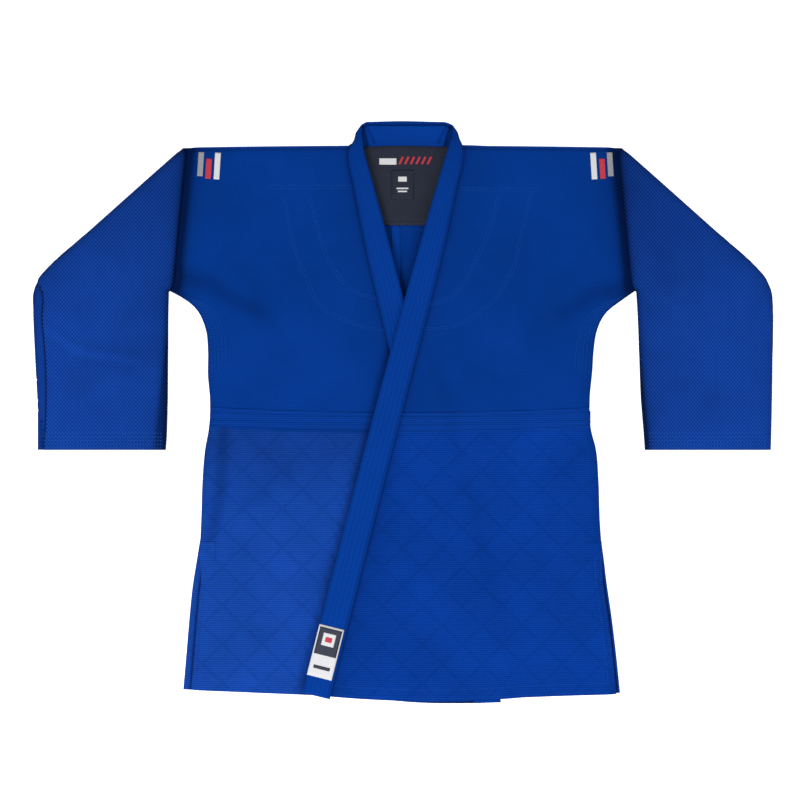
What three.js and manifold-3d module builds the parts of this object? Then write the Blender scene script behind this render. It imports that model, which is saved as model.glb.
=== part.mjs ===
// A judo jacket laid flat on its back, front face up, closed left over right, with its sleeves lowered.
// Frame in millimetres: +X to the wearer's left, +Y to the collar, +Z up out of the front face.
// The origin is under the middle of the jacket, on the surface that it lies on.
// Cloth layers are plates at their own levels. Both fronts fold open about a straight crease, so each
// piece that a crease crosses is two nodes: one stays with the back and one turns with the front.
import * as THREE from "three";
import Module from "manifold-3d";
import { mergeVertices } from "three/addons/utils/BufferGeometryUtils.js";

const wasm = await Module();
wasm.setup();

// ---- Driving dimensions: cloth ----
const CLOTH = 2.2; // double-weave body cloth
const LINING = 0.8; // reinforcing, facing and tape cloth
const LABEL = 0.5; // woven labels and embroidery
const GAP = 0.3; // clearance between two layers or two cut edges

// ---- Body ----
const UPPER_LENGTH = 396; // waist seam to shoulder line
const SKIRT_LENGTH = 420; // waist seam to hem, at the side
const SHOULDER_WIDTH = 660;
const CHEST_WIDTH = 588;
const WAIST_WIDTH = 580;
const SKIRT_WIDTH = 608; // where the side vents start
const HEM_WIDTH = 660; // back tail
const VENT_LENGTH = 211;
const VENT_SHOW = 13; // the back tail shows this far past the front one
const ARMHOLE = 215; // shoulder tip to armpit
const ARMHOLE_LEAN = THREE.MathUtils.degToRad(5.8);
const UNDERARM_DROP = 82; // height of the underarm curve
const HEM_SAG_BACK = 8;
const HEM_SAG_LEFT = 13;
const HEM_SAG_RIGHT = 20;
const BODY_HOLLOW = 8.1; // room between back and front
const WAIST_BAND = 28;
const SEAM_INSET = 1; // tapes stand this far inside the cloth's edge
const SEAM_WALL = 3;
const BACK_SEAM_X = -10;
const BACK_TAPE_WIDTH = 12;
const VENT_PATCH = 28;

// ---- Sleeves ----
const UPPER_SLEEVE = 303; // shoulder tip to elbow, along the top fold
const SLEEVE_DROP = THREE.MathUtils.degToRad(41.8);
const ELBOW_ROUND = 22;
const CUFF_OUT = 8; // the cuff hangs this far outside the armpit
const ELBOW_BULGE = 5; // the elbow stands this far outside the cuff's corner
const FOREARM = 239; // armpit to cuff
const CUFF_WIDTH = 191;
const CUFF_SAG = 5;
const SLEEVE_HOLLOW = 10.6;
const CUFF_FACING = 45;
const RAISE = THREE.MathUtils.degToRad(35); // how far a sleeve swings out
const GUSSET_START = 40; // the gusset starts this far from the shoulder tip

// ---- Collar ----
const LAPEL_WIDTH = 42;
const LAPEL_NECK_WIDTH = 29; // the band stands half on edge where it leaves the neck
const LAPEL_THICKNESS = 6.5;
const LAPEL_COVER = 1.2;
const NECK_HALF = 68; // centre to a lapel's free edge, at the top
const LAPEL_CROSS = 148; // how far past the centre a lapel ends
const COLLAR_RISE = 42; // collar above the shoulder line
const COLLAR_BAND = 34;
const COLLAR_CORNER = 18;

// ---- Linings and labels ----
const LINING_REACH = 145;
const LINING_DEPTH = 212;
const LINING_POWER = 2.5;
const YOKE_DEPTH = 119;
const YOKE_WIDTH = 200;
const SIZE_LABEL = { width: 34, height: 44, drop: 32 };
const LAPEL_LABEL = { width: 38, height: 76, rise: 26 };
const EMBLEM = { width: 44, height: 46, inset: 12, drop: 8 };

// ---- Fold creases, from the neck to the hem ----
const CREASE_INSET = 6; // a crease starts inside the lapel's free edge, so its whole end stays with the neck
const LEFT_CREASE = { top: NECK_HALF - CREASE_INSET, hem: 290 };
const RIGHT_CREASE = { top: CREASE_INSET - NECK_HALF, hem: 20 };

// ---- Levels, from the surface up ----
const FRONT_LEVEL = CLOTH + BODY_HOLLOW;
const RIGHT_LAPEL_TOP = FRONT_LEVEL + LAPEL_THICKNESS;
const LEFT_LEVEL = RIGHT_LAPEL_TOP + GAP;
const LEFT_LAPEL_TOP = LEFT_LEVEL + LAPEL_THICKNESS;
const SLEEVE_TOP = 2 * CLOTH + SLEEVE_HOLLOW;

// ---- Places worked out from the dimensions, for the wearer's left side ----
const waistY = 0;
const skirtTopY = waistY - WAIST_BAND;
const hemY = waistY - SKIRT_LENGTH;
const shoulder = { x: SHOULDER_WIDTH / 2, y: waistY + UPPER_LENGTH };
const armpit = {
  x: shoulder.x + ARMHOLE * Math.sin(ARMHOLE_LEAN),
  y: shoulder.y - ARMHOLE * Math.cos(ARMHOLE_LEAN),
};
const sideTop = { x: CHEST_WIDTH / 2, y: armpit.y - UNDERARM_DROP };
const ventTop = { x: SKIRT_WIDTH / 2, y: hemY + VENT_LENGTH };
const collarTopY = shoulder.y + COLLAR_RISE;

const point = (x, y) => new THREE.Vector2(x, y);
const mirror = (outline) => outline.map((p) => point(-p.x, p.y)).reverse();
const sided = (outline, side) => (side > 0 ? outline : mirror(outline));

// ---- Plane geometry ----

// The part of an outline on the side of the line a-b that keep points to, less half a gap.
function clip(outline, a, b, keep) {
  const along = b.clone().sub(a).normalize();
  const normal = point(-along.y, along.x).multiplyScalar(keep);
  const height = (p) => p.clone().sub(a).dot(normal) - GAP / 2;
  const kept = [];
  outline.forEach((p, i) => {
    const next = outline[(i + 1) % outline.length];
    const [here, there] = [height(p), height(next)];
    if (here >= 0) kept.push(p);
    if (here * there < 0) kept.push(p.clone().lerp(next, here / (here - there)));
  });
  return kept;
}

// A band along a row of points: its two long edges lie at the distances near and far to the left of it.
function strip(points, near, far) {
  const edge = (distance) =>
    points.map((p, i) => {
      const before = points[Math.max(i - 1, 0)];
      const after = points[Math.min(i + 1, points.length - 1)];
      const along = after.clone().sub(before).normalize();
      return point(p.x - along.y * distance(i), p.y + along.x * distance(i));
    });
  const constant = (d) => (typeof d === "number" ? () => d : d);
  return [...edge(constant(near)), ...edge(constant(far)).reverse()];
}

// An outline with each edge moved inwards by its own distance; the outline runs anticlockwise.
function inset(outline, distances) {
  const lines = outline.map((p, i) => {
    const along = outline[(i + 1) % outline.length].clone().sub(p).normalize();
    const inward = point(-along.y, along.x);
    return { from: p.clone().addScaledVector(inward, distances[i]), along };
  });
  return lines.map((line, i) => {
    const last = lines[(i + lines.length - 1) % lines.length];
    const between = line.from.clone().sub(last.from);
    const share = between.cross(line.along) / last.along.cross(line.along);
    return last.from.clone().addScaledVector(last.along, share);
  });
}

// A quarter of a rounded curve: from (cx + rx, cy) to (cx, cy - ry).
function quarter(cx, cy, rx, ry, power = 2, steps = 8) {
  return Array.from({ length: steps + 1 }, (_, i) => {
    const angle = (i / steps) * (Math.PI / 2);
    const reach = Math.cos(angle) ** (2 / power);
    const depth = Math.sin(angle) ** (2 / power);
    return point(cx + rx * reach, cy - ry * depth);
  });
}

// A hem's sagging curve from the side x at the hem's height to the inner x.
function hemCurve(sideX, innerX, sag, steps = 6) {
  return Array.from({ length: steps + 1 }, (_, i) => {
    const share = i / steps;
    const fall = Math.sin((share * Math.PI) / 2);
    return point(THREE.MathUtils.lerp(sideX, innerX, share), hemY - sag * fall);
  });
}

// ---- Solids ----

function plate(outline, bottom, top) {
  const shape = new THREE.Shape(outline);
  const options = { depth: top - bottom, bevelEnabled: false };
  return new THREE.ExtrudeGeometry(shape, options).translate(0, 0, bottom);
}

function solid(geometry) {
  const bare = geometry.clone();
  bare.deleteAttribute("normal");
  bare.deleteAttribute("uv");
  const merged = mergeVertices(bare, 1e-4);
  const vertProperties = merged.attributes.position.array;
  const triVerts = new Uint32Array(merged.index.array);
  return new wasm.Manifold(new wasm.Mesh({ numProp: 3, vertProperties, triVerts }));
}

function subtract(outer, ...inners) {
  const rest = inners.reduce((left, inner) => left.subtract(solid(inner)), solid(outer));
  const mesh = rest.getMesh();
  const geometry = new THREE.BufferGeometry();
  geometry.setAttribute("position", new THREE.BufferAttribute(mesh.vertProperties, 3));
  geometry.setIndex(new THREE.BufferAttribute(mesh.triVerts, 1));
  return geometry;
}

const cloths = {
  pearl: { color: 0x0b3791, roughness: 0.9 },
  diamond: { color: 0x0d3c9c, roughness: 0.9 },
  band: { color: 0x0a3f9a, roughness: 0.8 },
  core: { color: 0xe8e4da, roughness: 0.95 },
  yoke: { color: 0x22252e, roughness: 0.6 },
  label: { color: 0xf0f0f0, roughness: 0.7 },
};
const materials = Object.fromEntries(
  Object.entries(cloths).map(([name, look]) => [
    name,
    new THREE.MeshStandardMaterial({ ...look, metalness: 0 }),
  ]),
);

const jacket = new THREE.Group();

function add(name, geometry, cloth) {
  const mesh = new THREE.Mesh(geometry, materials[cloth]);
  mesh.name = name;
  jacket.add(mesh);
}

// ---- Outlines of the wearer's left half; the right half is the mirror image ----

// A lapel's free edge, from the neck to the hem.
const lapelFree = new THREE.QuadraticBezierCurve(
  point(NECK_HALF, shoulder.y + COLLAR_RISE / 2.5),
  point(-LAPEL_CROSS / 30, armpit.y - 14),
  point(-LAPEL_CROSS, hemY),
).getPoints(16);

// How wide the lapel lies at point i of its free edge.
const lapelWidth = (i) => {
  const share = Math.min(1, (4 * i) / (lapelFree.length - 1));
  return THREE.MathUtils.lerp(LAPEL_NECK_WIDTH, LAPEL_WIDTH, share);
};
const lapelOutline = strip(lapelFree, 0, lapelWidth);
const lapelSeam = lapelOutline.slice(lapelFree.length).reverse();

// Where the front cloth meets the lapel, from the shoulder line down past the hem.
const panelEdge = strip(lapelFree, 0, (i) => lapelWidth(i) + GAP).slice(lapelFree.length);
panelEdge.reverse();
panelEdge.push(point(panelEdge.at(-1).x - GAP, panelEdge.at(-1).y - HEM_SAG_RIGHT));

const underarm = quarter(armpit.x, sideTop.y, sideTop.x - armpit.x, -UNDERARM_DROP);
const waistSide = point(WAIST_WIDTH / 2, waistY);
const skirtSide = point(WAIST_WIDTH / 2 + 4, skirtTopY);
const ventCurve = (tail) => [
  point(ventTop.x, ventTop.y),
  point(ventTop.x + (tail - ventTop.x) * 0.45, ventTop.y - VENT_LENGTH * 0.28),
];

// The half of the upper body from the line x = 0 out to the armhole.
const upperHalf = [
  point(0, waistY),
  waistSide,
  ...underarm,
  point(armpit.x, armpit.y),
  point(shoulder.x, shoulder.y),
  point(0, shoulder.y),
].filter((p, i, all) => i === 0 || p.distanceTo(all[i - 1]) > 1);

const skirtHalf = (tail, sag, innerX) => [
  ...hemCurve(tail, innerX, sag).reverse(),
  ...ventCurve(tail).reverse(),
  skirtSide,
  point(innerX, skirtTopY),
];

const bandHalf = (innerX) => [
  point(innerX, skirtTopY + GAP),
  point(skirtSide.x, skirtTopY + GAP),
  point(waistSide.x, waistY - GAP),
  point(innerX, waistY - GAP),
];

// The line a crease follows. side is +1 for the wearer's left front.
function creaseLine(crease) {
  const top = point(crease.top, collarTopY);
  return [top, point(crease.hem, hemY - HEM_SAG_RIGHT)];
}

// The front cloth on its own side of the lapel's seam edge.
function besideLapel(outline, side) {
  const reach = 2 * SHOULDER_WIDTH;
  const cover = [
    ...panelEdge.map((p) => p.clone()),
    point(reach, hemY - HEM_SAG_RIGHT * 2),
    point(reach, collarTopY),
    point(panelEdge[0].x, collarTopY),
  ];
  const whole = solid(plate(sided(outline, side), 0, 1));
  const kept = whole.intersect(solid(plate(sided(cover, side), -1, 2)));
  return kept.slice(0.5).toPolygons()[0].map(([x, y]) => point(x, y));
}

// ---- Back: two upper panels, waist band, skirt and their tapes ----

function buildBack() {
  const centre = [point(BACK_SEAM_X, collarTopY), point(BACK_SEAM_X, hemY * 2)];
  const whole = [...upperHalf.slice(1, -1), ...mirror(upperHalf.slice(1, -1))];
  add("back_left_panel", plate(clip(whole, ...centre, 1), 0, CLOTH), "pearl");
  add("back_right_panel", plate(clip(whole, ...centre, -1), 0, CLOTH), "pearl");

  const tail = HEM_WIDTH / 2;
  const half = skirtHalf(tail, HEM_SAG_BACK, 0).slice(1, -1);
  add("back_skirt", plate([...half, ...mirror(half)], 0, CLOTH), "diamond");
  const band = bandHalf(0).slice(1, -1);
  const bandTop = CLOTH + LINING;
  add("back_waist_band", plate([...band, ...mirror(band)], 0, bandTop), "diamond");

  const floor = CLOTH + GAP;
  const tape = [
    point(BACK_SEAM_X - BACK_TAPE_WIDTH / 2, waistY + GAP),
    point(BACK_SEAM_X + BACK_TAPE_WIDTH / 2, waistY + GAP),
    point(BACK_SEAM_X + BACK_TAPE_WIDTH / 2, shoulder.y - YOKE_DEPTH - GAP),
    point(BACK_SEAM_X - BACK_TAPE_WIDTH / 2, shoulder.y - YOKE_DEPTH - GAP),
  ];
  add("back_seam_tape", plate(tape, floor, floor + LINING), "band");
}

// ---- Neck: yoke lining, size label, and the collar's back band round its core ----

function buildNeck() {
  const floor = CLOTH + GAP;
  const yokeTop = shoulder.y - GAP;
  const yoke = [
    ...quarter(YOKE_WIDTH / 4, shoulder.y - YOKE_DEPTH / 2, YOKE_WIDTH / 4, YOKE_DEPTH / 2),
    ...mirror(
      quarter(YOKE_WIDTH / 4, shoulder.y - YOKE_DEPTH / 2, YOKE_WIDTH / 4, YOKE_DEPTH / 2),
    ),
    point(-YOKE_WIDTH / 2, yokeTop),
    point(YOKE_WIDTH / 2, yokeTop),
  ];
  add("neck_yoke_lining", plate(yoke, floor, floor + LINING), "yoke");

  const labelFloor = floor + LINING + GAP;
  const labelTop = shoulder.y - SIZE_LABEL.drop;
  const label = [
    point(-SIZE_LABEL.width / 2, labelTop - SIZE_LABEL.height),
    point(SIZE_LABEL.width / 2, labelTop - SIZE_LABEL.height),
    point(SIZE_LABEL.width / 2, labelTop),
    point(-SIZE_LABEL.width / 2, labelTop),
  ];
  add("neck_size_label", plate(label, labelFloor, labelFloor + LABEL), "label");

  const base = collarTopY - COLLAR_BAND;
  const corner = quarter(NECK_HALF - COLLAR_CORNER, collarTopY - COLLAR_CORNER, COLLAR_CORNER, -COLLAR_CORNER);
  const half = [point(NECK_HALF + COLLAR_BAND / 2.2, base), ...corner];
  const ends = [...half, ...mirror(half)];
  const bandFloor = CLOTH + GAP;
  const bandTop = FRONT_LEVEL - GAP;
  const inside = (wall) => [
    point(-NECK_HALF - COLLAR_BAND, base + wall),
    point(NECK_HALF + COLLAR_BAND, base + wall),
    point(NECK_HALF + COLLAR_BAND, collarTopY - COLLAR_CORNER),
    point(-NECK_HALF - COLLAR_BAND, collarTopY - COLLAR_CORNER),
  ];
  const pocket = plate(inside(LAPEL_COVER), bandFloor + LAPEL_COVER, bandTop - LAPEL_COVER);
  add("collar_back_band", subtract(plate(ends, bandFloor, bandTop), pocket), "band");
  const coreWall = LAPEL_COVER + GAP;
  const core = inside(coreWall).map((p) => point(Math.sign(p.x) * NECK_HALF, p.y));
  core[2].y -= GAP;
  core[3].y -= GAP;
  add("collar_back_core", plate(core, bandFloor + coreWall, bandTop - coreWall), "core");
}

// ---- Fronts: each is clipped by its crease into a fixed side and a part that folds open ----

function buildFront(side) {
  const hand = side > 0 ? "left" : "right";
  const flapLevel = side > 0 ? LEFT_LEVEL : FRONT_LEVEL;
  const crease = creaseLine(side > 0 ? LEFT_CREASE : RIGHT_CREASE);
  const sag = side > 0 ? HEM_SAG_LEFT : HEM_SAG_RIGHT;
  const innerX = -LAPEL_CROSS - 2 * LAPEL_WIDTH;

  // Adds the two halves of a front piece, lift above the front's own level.
  function addPair(name, outline, lift, thickness, cloth) {
    const fixed = plate(clip(outline, ...crease, side), 0, thickness);
    const moving = plate(clip(outline, ...crease, -side), 0, thickness);
    add(`${name}_side`, fixed.translate(0, 0, FRONT_LEVEL + lift), cloth);
    add(name, moving.translate(0, 0, flapLevel + lift), cloth);
  }

  const upper = [point(innerX, waistY), ...upperHalf.slice(1, -1), point(0, shoulder.y)];
  addPair(`front_${hand}_panel`, besideLapel(upper, side), 0, CLOTH, "pearl");
  const skirt = skirtHalf(HEM_WIDTH / 2 - VENT_SHOW, sag, innerX);
  addPair(`skirt_front_${hand}`, besideLapel(skirt, side), 0, CLOTH, "diamond");
  const band = besideLapel(bandHalf(innerX), side);
  addPair(`waist_band_${hand}`, band, 0, CLOTH + LINING, "diamond");

  const liningTop = shoulder.y - GAP;
  const liningEdge = quarter(
    LINING_REACH * 0.19,
    shoulder.y - 55,
    LINING_REACH,
    LINING_DEPTH,
    LINING_POWER,
  ).reverse();
  const lining = [...liningEdge, point(liningEdge.at(-1).x, liningTop), point(0, liningTop)];
  const drop = -GAP - LINING;
  const liningOutline = besideLapel(lining, side);
  // The left crease crosses its lining. The right one runs under the lapel, clear of its own.
  if (side > 0) {
    addPair(`shoulder_lining_${hand}`, liningOutline, drop, LINING, "pearl");
  } else {
    const liningPlate = plate(liningOutline, FRONT_LEVEL + drop, FRONT_LEVEL - GAP);
    add(`shoulder_lining_${hand}`, liningPlate, "pearl");
  }
  return { hand, flapLevel, crease };
}

// ---- Lapels: a cover round a stiff core. The neck end beyond the crease stays with the back ----

function buildLapel(side, { hand, flapLevel, crease }) {
  const outline = sided(lapelOutline, side);
  const top = flapLevel + LAPEL_THICKNESS;
  const covered = (wall) => {
    const long = strip(lapelFree, wall, (i) => lapelWidth(i) - wall);
    return clip(sided(long, side), point(-1, hemY + 4 * wall), point(1, hemY + 4 * wall), 1);
  };
  const flap = clip(outline, ...crease, -side);
  const pocket = plate(covered(LAPEL_COVER), flapLevel + LAPEL_COVER, top - LAPEL_COVER);
  add(`lapel_${hand}`, subtract(plate(flap, flapLevel, top), pocket), "band");

  const wall = LAPEL_COVER + GAP;
  const core = clip(covered(wall), ...crease, -side);
  add(`lapel_${hand}_core`, plate(core, flapLevel + wall, top - wall), "core");

  const neckEnd = clip(outline, ...crease, side);
  add(`lapel_${hand}_neck_end`, plate(neckEnd, flapLevel, top), "band");
}

// ---- Sleeves: an open flattened tube with a cuff facing, and a folded gusset reaching into it ----

function sleeveOutline() {
  const topFold = point(Math.cos(SLEEVE_DROP), -Math.sin(SLEEVE_DROP));
  const tip = point(shoulder.x, shoulder.y);
  const cuffY = armpit.y - FOREARM;
  const cuffInner = point(armpit.x + CUFF_OUT, cuffY);
  const cuffOuter = point(cuffInner.x + CUFF_WIDTH, cuffY);
  const beforeElbow = tip.clone().addScaledVector(topFold, UPPER_SLEEVE - ELBOW_ROUND);
  const elbow = point(cuffOuter.x + ELBOW_BULGE, beforeElbow.y - ELBOW_ROUND);
  const bend = point(
    elbow.x,
    beforeElbow.y - (elbow.x - beforeElbow.x) * Math.tan(SLEEVE_DROP),
  );
  const afterElbow = point(elbow.x, Math.min(bend.y, elbow.y) - ELBOW_ROUND);
  const round = new THREE.QuadraticBezierCurve(afterElbow, bend, beforeElbow).getPoints(6);
  const cuffMiddle = point((cuffInner.x + cuffOuter.x) / 2, cuffY - CUFF_SAG);
  const armpitEdge = point(armpit.x + GAP, armpit.y);
  const tipEdge = point(tip.x + GAP, tip.y - GAP);
  return [armpitEdge, cuffInner, cuffMiddle, cuffOuter, ...round, tipEdge];
}

function buildSleeve(side) {
  const hand = side > 0 ? "left" : "right";
  const outline = sleeveOutline();
  const open = -3 * CLOTH;
  // Edge 0 is the underarm fold, 1 and 2 the cuff, the last the armhole; the rest are outer folds.
  const walls = (wall) =>
    outline.map((_, i) => (i === 1 || i === 2 || i === outline.length - 1 ? open : wall));
  const hollow = sided(inset(outline, walls(CLOTH)), side);
  const tube = plate(sided(outline, side), 0, SLEEVE_TOP);
  add(`sleeve_${hand}`, subtract(tube, plate(hollow, CLOTH, SLEEVE_TOP - CLOTH)), "pearl");

  const cuffY = armpit.y - FOREARM;
  const bottomLine = [point(-1, cuffY + CLOTH), point(1, cuffY + CLOTH)];
  const topLine = [point(-1, cuffY + CUFF_FACING), point(1, cuffY + CUFF_FACING)];
  const facing = (wall) => sided(inset(outline, walls(wall)), side);
  const outerWall = CLOTH + GAP;
  const ring = clip(clip(facing(outerWall), ...bottomLine, 1), ...topLine, -1);
  const bore = facing(outerWall + LINING);
  const facingTube = subtract(
    plate(ring, outerWall, SLEEVE_TOP - outerWall),
    plate(bore, outerWall + LINING, SLEEVE_TOP - outerWall - LINING),
  );
  add(`cuff_facing_${hand}`, facingTube, "pearl");

  // The gusset: two leaves joined by a wall along the underarm, a sector about the shoulder tip.
  const sector = (from, to, inner, outer) => {
    const at = (radius, angle) =>
      point(shoulder.x + radius * Math.sin(angle), shoulder.y - radius * Math.cos(angle));
    const steps = 8;
    const angles = Array.from({ length: steps + 1 }, (_, i) => from + ((to - from) * i) / steps);
    const arc = angles.map((a) => at(outer, a));
    return sided([at(inner, from), ...arc, at(inner, to)], side);
  };
  const start = ARMHOLE_LEAN + GAP / GUSSET_START;
  const end = start + RAISE;
  const rim = ARMHOLE - GAP - CLOTH / 2;
  const lift = CLOTH + GAP;
  const top = SLEEVE_TOP - CLOTH - GAP;
  const leaves = plate(sector(start, end, GUSSET_START, rim), lift, top);
  const spread = GAP / GUSSET_START;
  const room = sector(start - spread, end + spread, GUSSET_START / 2, rim - CLOTH);
  const between = plate(room, lift + CLOTH, top - CLOTH);
  add(`underarm_gusset_${hand}`, subtract(leaves, between), "pearl");
}

// ---- Seams that close the body: side seam and shoulder seam tapes, and vent patches ----

function buildSeams(side) {
  const hand = side > 0 ? "left" : "right";
  const bottom = CLOTH + LINING + GAP;
  const top = FRONT_LEVEL - GAP;
  const sideLine = [ventTop, skirtSide, waistSide, ...underarm].map((p) => point(p.x, p.y));
  const sideWall = strip(sideLine, SEAM_INSET, SEAM_INSET + SEAM_WALL);
  add(`side_seam_tape_${hand}`, plate(sided(sideWall, side), bottom, top), "band");

  const shoulderLine = [
    point(shoulder.x - 2 * SEAM_WALL, shoulder.y),
    point(YOKE_WIDTH / 2 + SEAM_WALL, shoulder.y),
  ];
  const shoulderWall = strip(shoulderLine, SEAM_INSET, SEAM_INSET + SEAM_WALL);
  const shoulderTop = FRONT_LEVEL - LINING - 2 * GAP;
  add(`shoulder_seam_tape_${hand}`, plate(sided(shoulderWall, side), bottom, shoulderTop), "band");

  const patch = [
    point(ventTop.x - VENT_PATCH, ventTop.y - VENT_PATCH / 2),
    point(ventTop.x - 2 * SEAM_INSET, ventTop.y - VENT_PATCH / 2),
    point(ventTop.x - 2 * SEAM_INSET, ventTop.y + VENT_PATCH / 2),
    point(ventTop.x - VENT_PATCH, ventTop.y + VENT_PATCH / 2),
  ];
  const floor = FRONT_LEVEL + CLOTH + GAP;
  add(`vent_patch_${hand}`, plate(sided(patch, side), floor, floor + LINING), "diamond");

  const emblemRight = shoulder.x - EMBLEM.inset;
  const emblemTop = shoulder.y - EMBLEM.drop;
  const emblem = [
    point(emblemRight - EMBLEM.width, emblemTop - EMBLEM.height),
    point(emblemRight, emblemTop - EMBLEM.height),
    point(emblemRight, emblemTop),
    point(emblemRight - EMBLEM.width, emblemTop),
  ];
  add(`shoulder_emblem_${hand}`, plate(sided(emblem, side), floor, floor + LABEL), "label");
}

// ---- Woven label on the left lapel, square to the band near its lower end ----

function buildLapelLabel() {
  const end = lapelFree.at(-1);
  const before = lapelFree.at(-2);
  const up = before.clone().sub(end).normalize();
  const across = point(up.y, -up.x);
  const margin = (LAPEL_WIDTH - LAPEL_LABEL.width) / 2;
  const at = (reach, rise) =>
    end.clone().addScaledVector(across, reach).addScaledVector(up, rise);
  const foot = LAPEL_LABEL.rise;
  const head = foot + LAPEL_LABEL.height;
  const right = margin + LAPEL_LABEL.width;
  const outline = [at(margin, foot), at(right, foot), at(right, head), at(margin, head)];
  const floor = LEFT_LAPEL_TOP + GAP;
  add("lapel_label", plate(outline, floor, floor + LABEL), "label");
}

buildBack();
buildNeck();
for (const side of [1, -1]) {
  buildLapel(side, buildFront(side));
  buildSleeve(side);
  buildSeams(side);
}
buildLapelLabel();

// Puts the origin under the middle of the whole jacket.
const box = new THREE.Box3().setFromObject(jacket);
const middle = box.getCenter(new THREE.Vector3());
jacket.position.set(-middle.x, -middle.y, -box.min.z);

export default jacket;
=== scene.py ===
import math
from functools import partial

import bmesh
import bpy
import numpy as np
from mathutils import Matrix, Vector


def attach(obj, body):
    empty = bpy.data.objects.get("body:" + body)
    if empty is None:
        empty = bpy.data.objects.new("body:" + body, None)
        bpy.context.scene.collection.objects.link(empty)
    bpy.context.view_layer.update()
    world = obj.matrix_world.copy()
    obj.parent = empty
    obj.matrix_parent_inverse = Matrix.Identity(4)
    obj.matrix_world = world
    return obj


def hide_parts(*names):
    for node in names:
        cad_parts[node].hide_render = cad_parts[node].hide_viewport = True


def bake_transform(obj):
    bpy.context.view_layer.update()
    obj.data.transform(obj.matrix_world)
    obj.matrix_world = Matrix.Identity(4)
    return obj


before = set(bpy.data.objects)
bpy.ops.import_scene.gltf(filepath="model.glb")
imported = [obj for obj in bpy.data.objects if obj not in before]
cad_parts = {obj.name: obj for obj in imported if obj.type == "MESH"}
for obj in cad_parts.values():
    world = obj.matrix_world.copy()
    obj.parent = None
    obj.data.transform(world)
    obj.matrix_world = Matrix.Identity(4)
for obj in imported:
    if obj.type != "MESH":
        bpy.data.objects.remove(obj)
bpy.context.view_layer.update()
scene = bpy.context.scene

# ---------------------------------------------------------------- table, light and camera
# The jacket lies spread on a white table that glows a little, so that it keeps no
# shadows. One softbox stands beyond the hem, a weaker one beyond the left shoulder, and
# the camera looks straight down.
FLOOR_SIZE = 9.0
CAMERA_LENS = 85.0
CAMERA_PLACE = (-0.00375, 0.018, 2.846)


def shader(name):
    """A new material, its node tree and its main shader."""
    material = bpy.data.materials.new(name)
    material.use_nodes = True
    return material, material.node_tree, material.node_tree.nodes["Principled BSDF"]


def set_inputs(node, **values):
    """Sets sockets by name; an underscore stands for a space."""
    for label, value in values.items():
        node.inputs[label.replace("_", " ")].default_value = value


table_paint, tree, main = shader("table_paint")
set_inputs(main, Base_Color=(0.93, 0.93, 0.93, 1), Roughness=0.9, Specular_IOR_Level=0.1)
set_inputs(main, Emission_Color=(1, 1, 1, 1), Emission_Strength=0.85)
half = FLOOR_SIZE / 2
floor_mesh = bpy.data.meshes.new("table_top")
floor_mesh.from_pydata(
    [
        (-half, -half, -0.0006), (half, -half, -0.0006), (half, half, -0.0006),
        (-half, half, -0.0006)
    ],
    [],
    [(0, 1, 2, 3)],
)
floor_mesh.materials.append(table_paint)
floor = bpy.data.objects.new("table_top", floor_mesh)
scene.collection.objects.link(floor)

world = bpy.data.worlds.new("studio")
world.use_nodes = True
world.node_tree.nodes["Background"].inputs[0].default_value = (1, 1, 1, 1)
world.node_tree.nodes["Background"].inputs[1].default_value = 0.62
scene.world = world
scene.view_settings.view_transform = "Standard"


def softbox(name, place, aim, size, power):
    lamp = bpy.data.lights.new(name, "AREA")
    lamp.shape, lamp.size, lamp.energy = "SQUARE", size, power
    holder = bpy.data.objects.new(name, lamp)
    place, aim = np.array(place), np.array(aim)
    holder.location = place
    holder.rotation_euler = Vector(aim - place).to_track_quat("-Z", "Y").to_euler()
    scene.collection.objects.link(holder)


softbox("ceiling_light", (-0.9, -1.6, 1.9), (0, 0, 0), 1.0, 38)
softbox("side_light", (2.2, 0.9, 1.5), (0, 0, 0), 1.2, 9)

camera = bpy.data.objects.new("camera", bpy.data.cameras.new("camera"))
camera.data.lens = CAMERA_LENS
camera.location = CAMERA_PLACE
scene.collection.objects.link(camera)
scene.camera = camera

# ---------------------------------------------------------------- back panels
# Two halves of pearl-weave cotton, joined down the middle of the back by a seam that a
# narrow drill tape covers on the inside. They lie flat on the table.
LEFT, RIGHT = 1, -1
SIDES = ((LEFT, "left"), (RIGHT, "right"))
CLOTH = 0.0022
BACK_LEVEL = 0.0011
SHOULDER = np.array([0.33, 0.396])
ARMPIT = np.array([0.3517, 0.1824])
WAIST = 0.0
SKIRT_TOP = -0.0275
BACK_SEAM = -0.01
LIGHT_BLUE, DARK_BLUE = (0.0015, 0.0475, 0.318), (0.0006, 0.031, 0.222)


def eased_span(t, h, ends, slopes):
    """A smooth curve over a span h long, from its two ends and the slopes there."""
    return (
        (2 * t**3 - 3 * t**2 + 1) * ends[0] + (t**3 - 2 * t**2 + t) * h * slopes[0]
        + (3 * t**2 - 2 * t**3) * ends[1] + (t**3 - t**2) * h * slopes[1]
    )


def eased(points):
    """A smooth line through a few (y, x) points, as x for any y."""
    ys, xs = (np.array(v, float) for v in zip(*sorted(points)))
    slope = np.gradient(xs, ys)

    def line(y):
        i = np.clip(np.searchsorted(ys, y) - 1, 0, len(ys) - 2)
        h = ys[i + 1] - ys[i]
        t = np.clip((y - ys[i]) / h, 0, 1)
        return eased_span(t, h, (xs[i], xs[i + 1]), (slope[i], slope[i + 1]))

    return line


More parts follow.
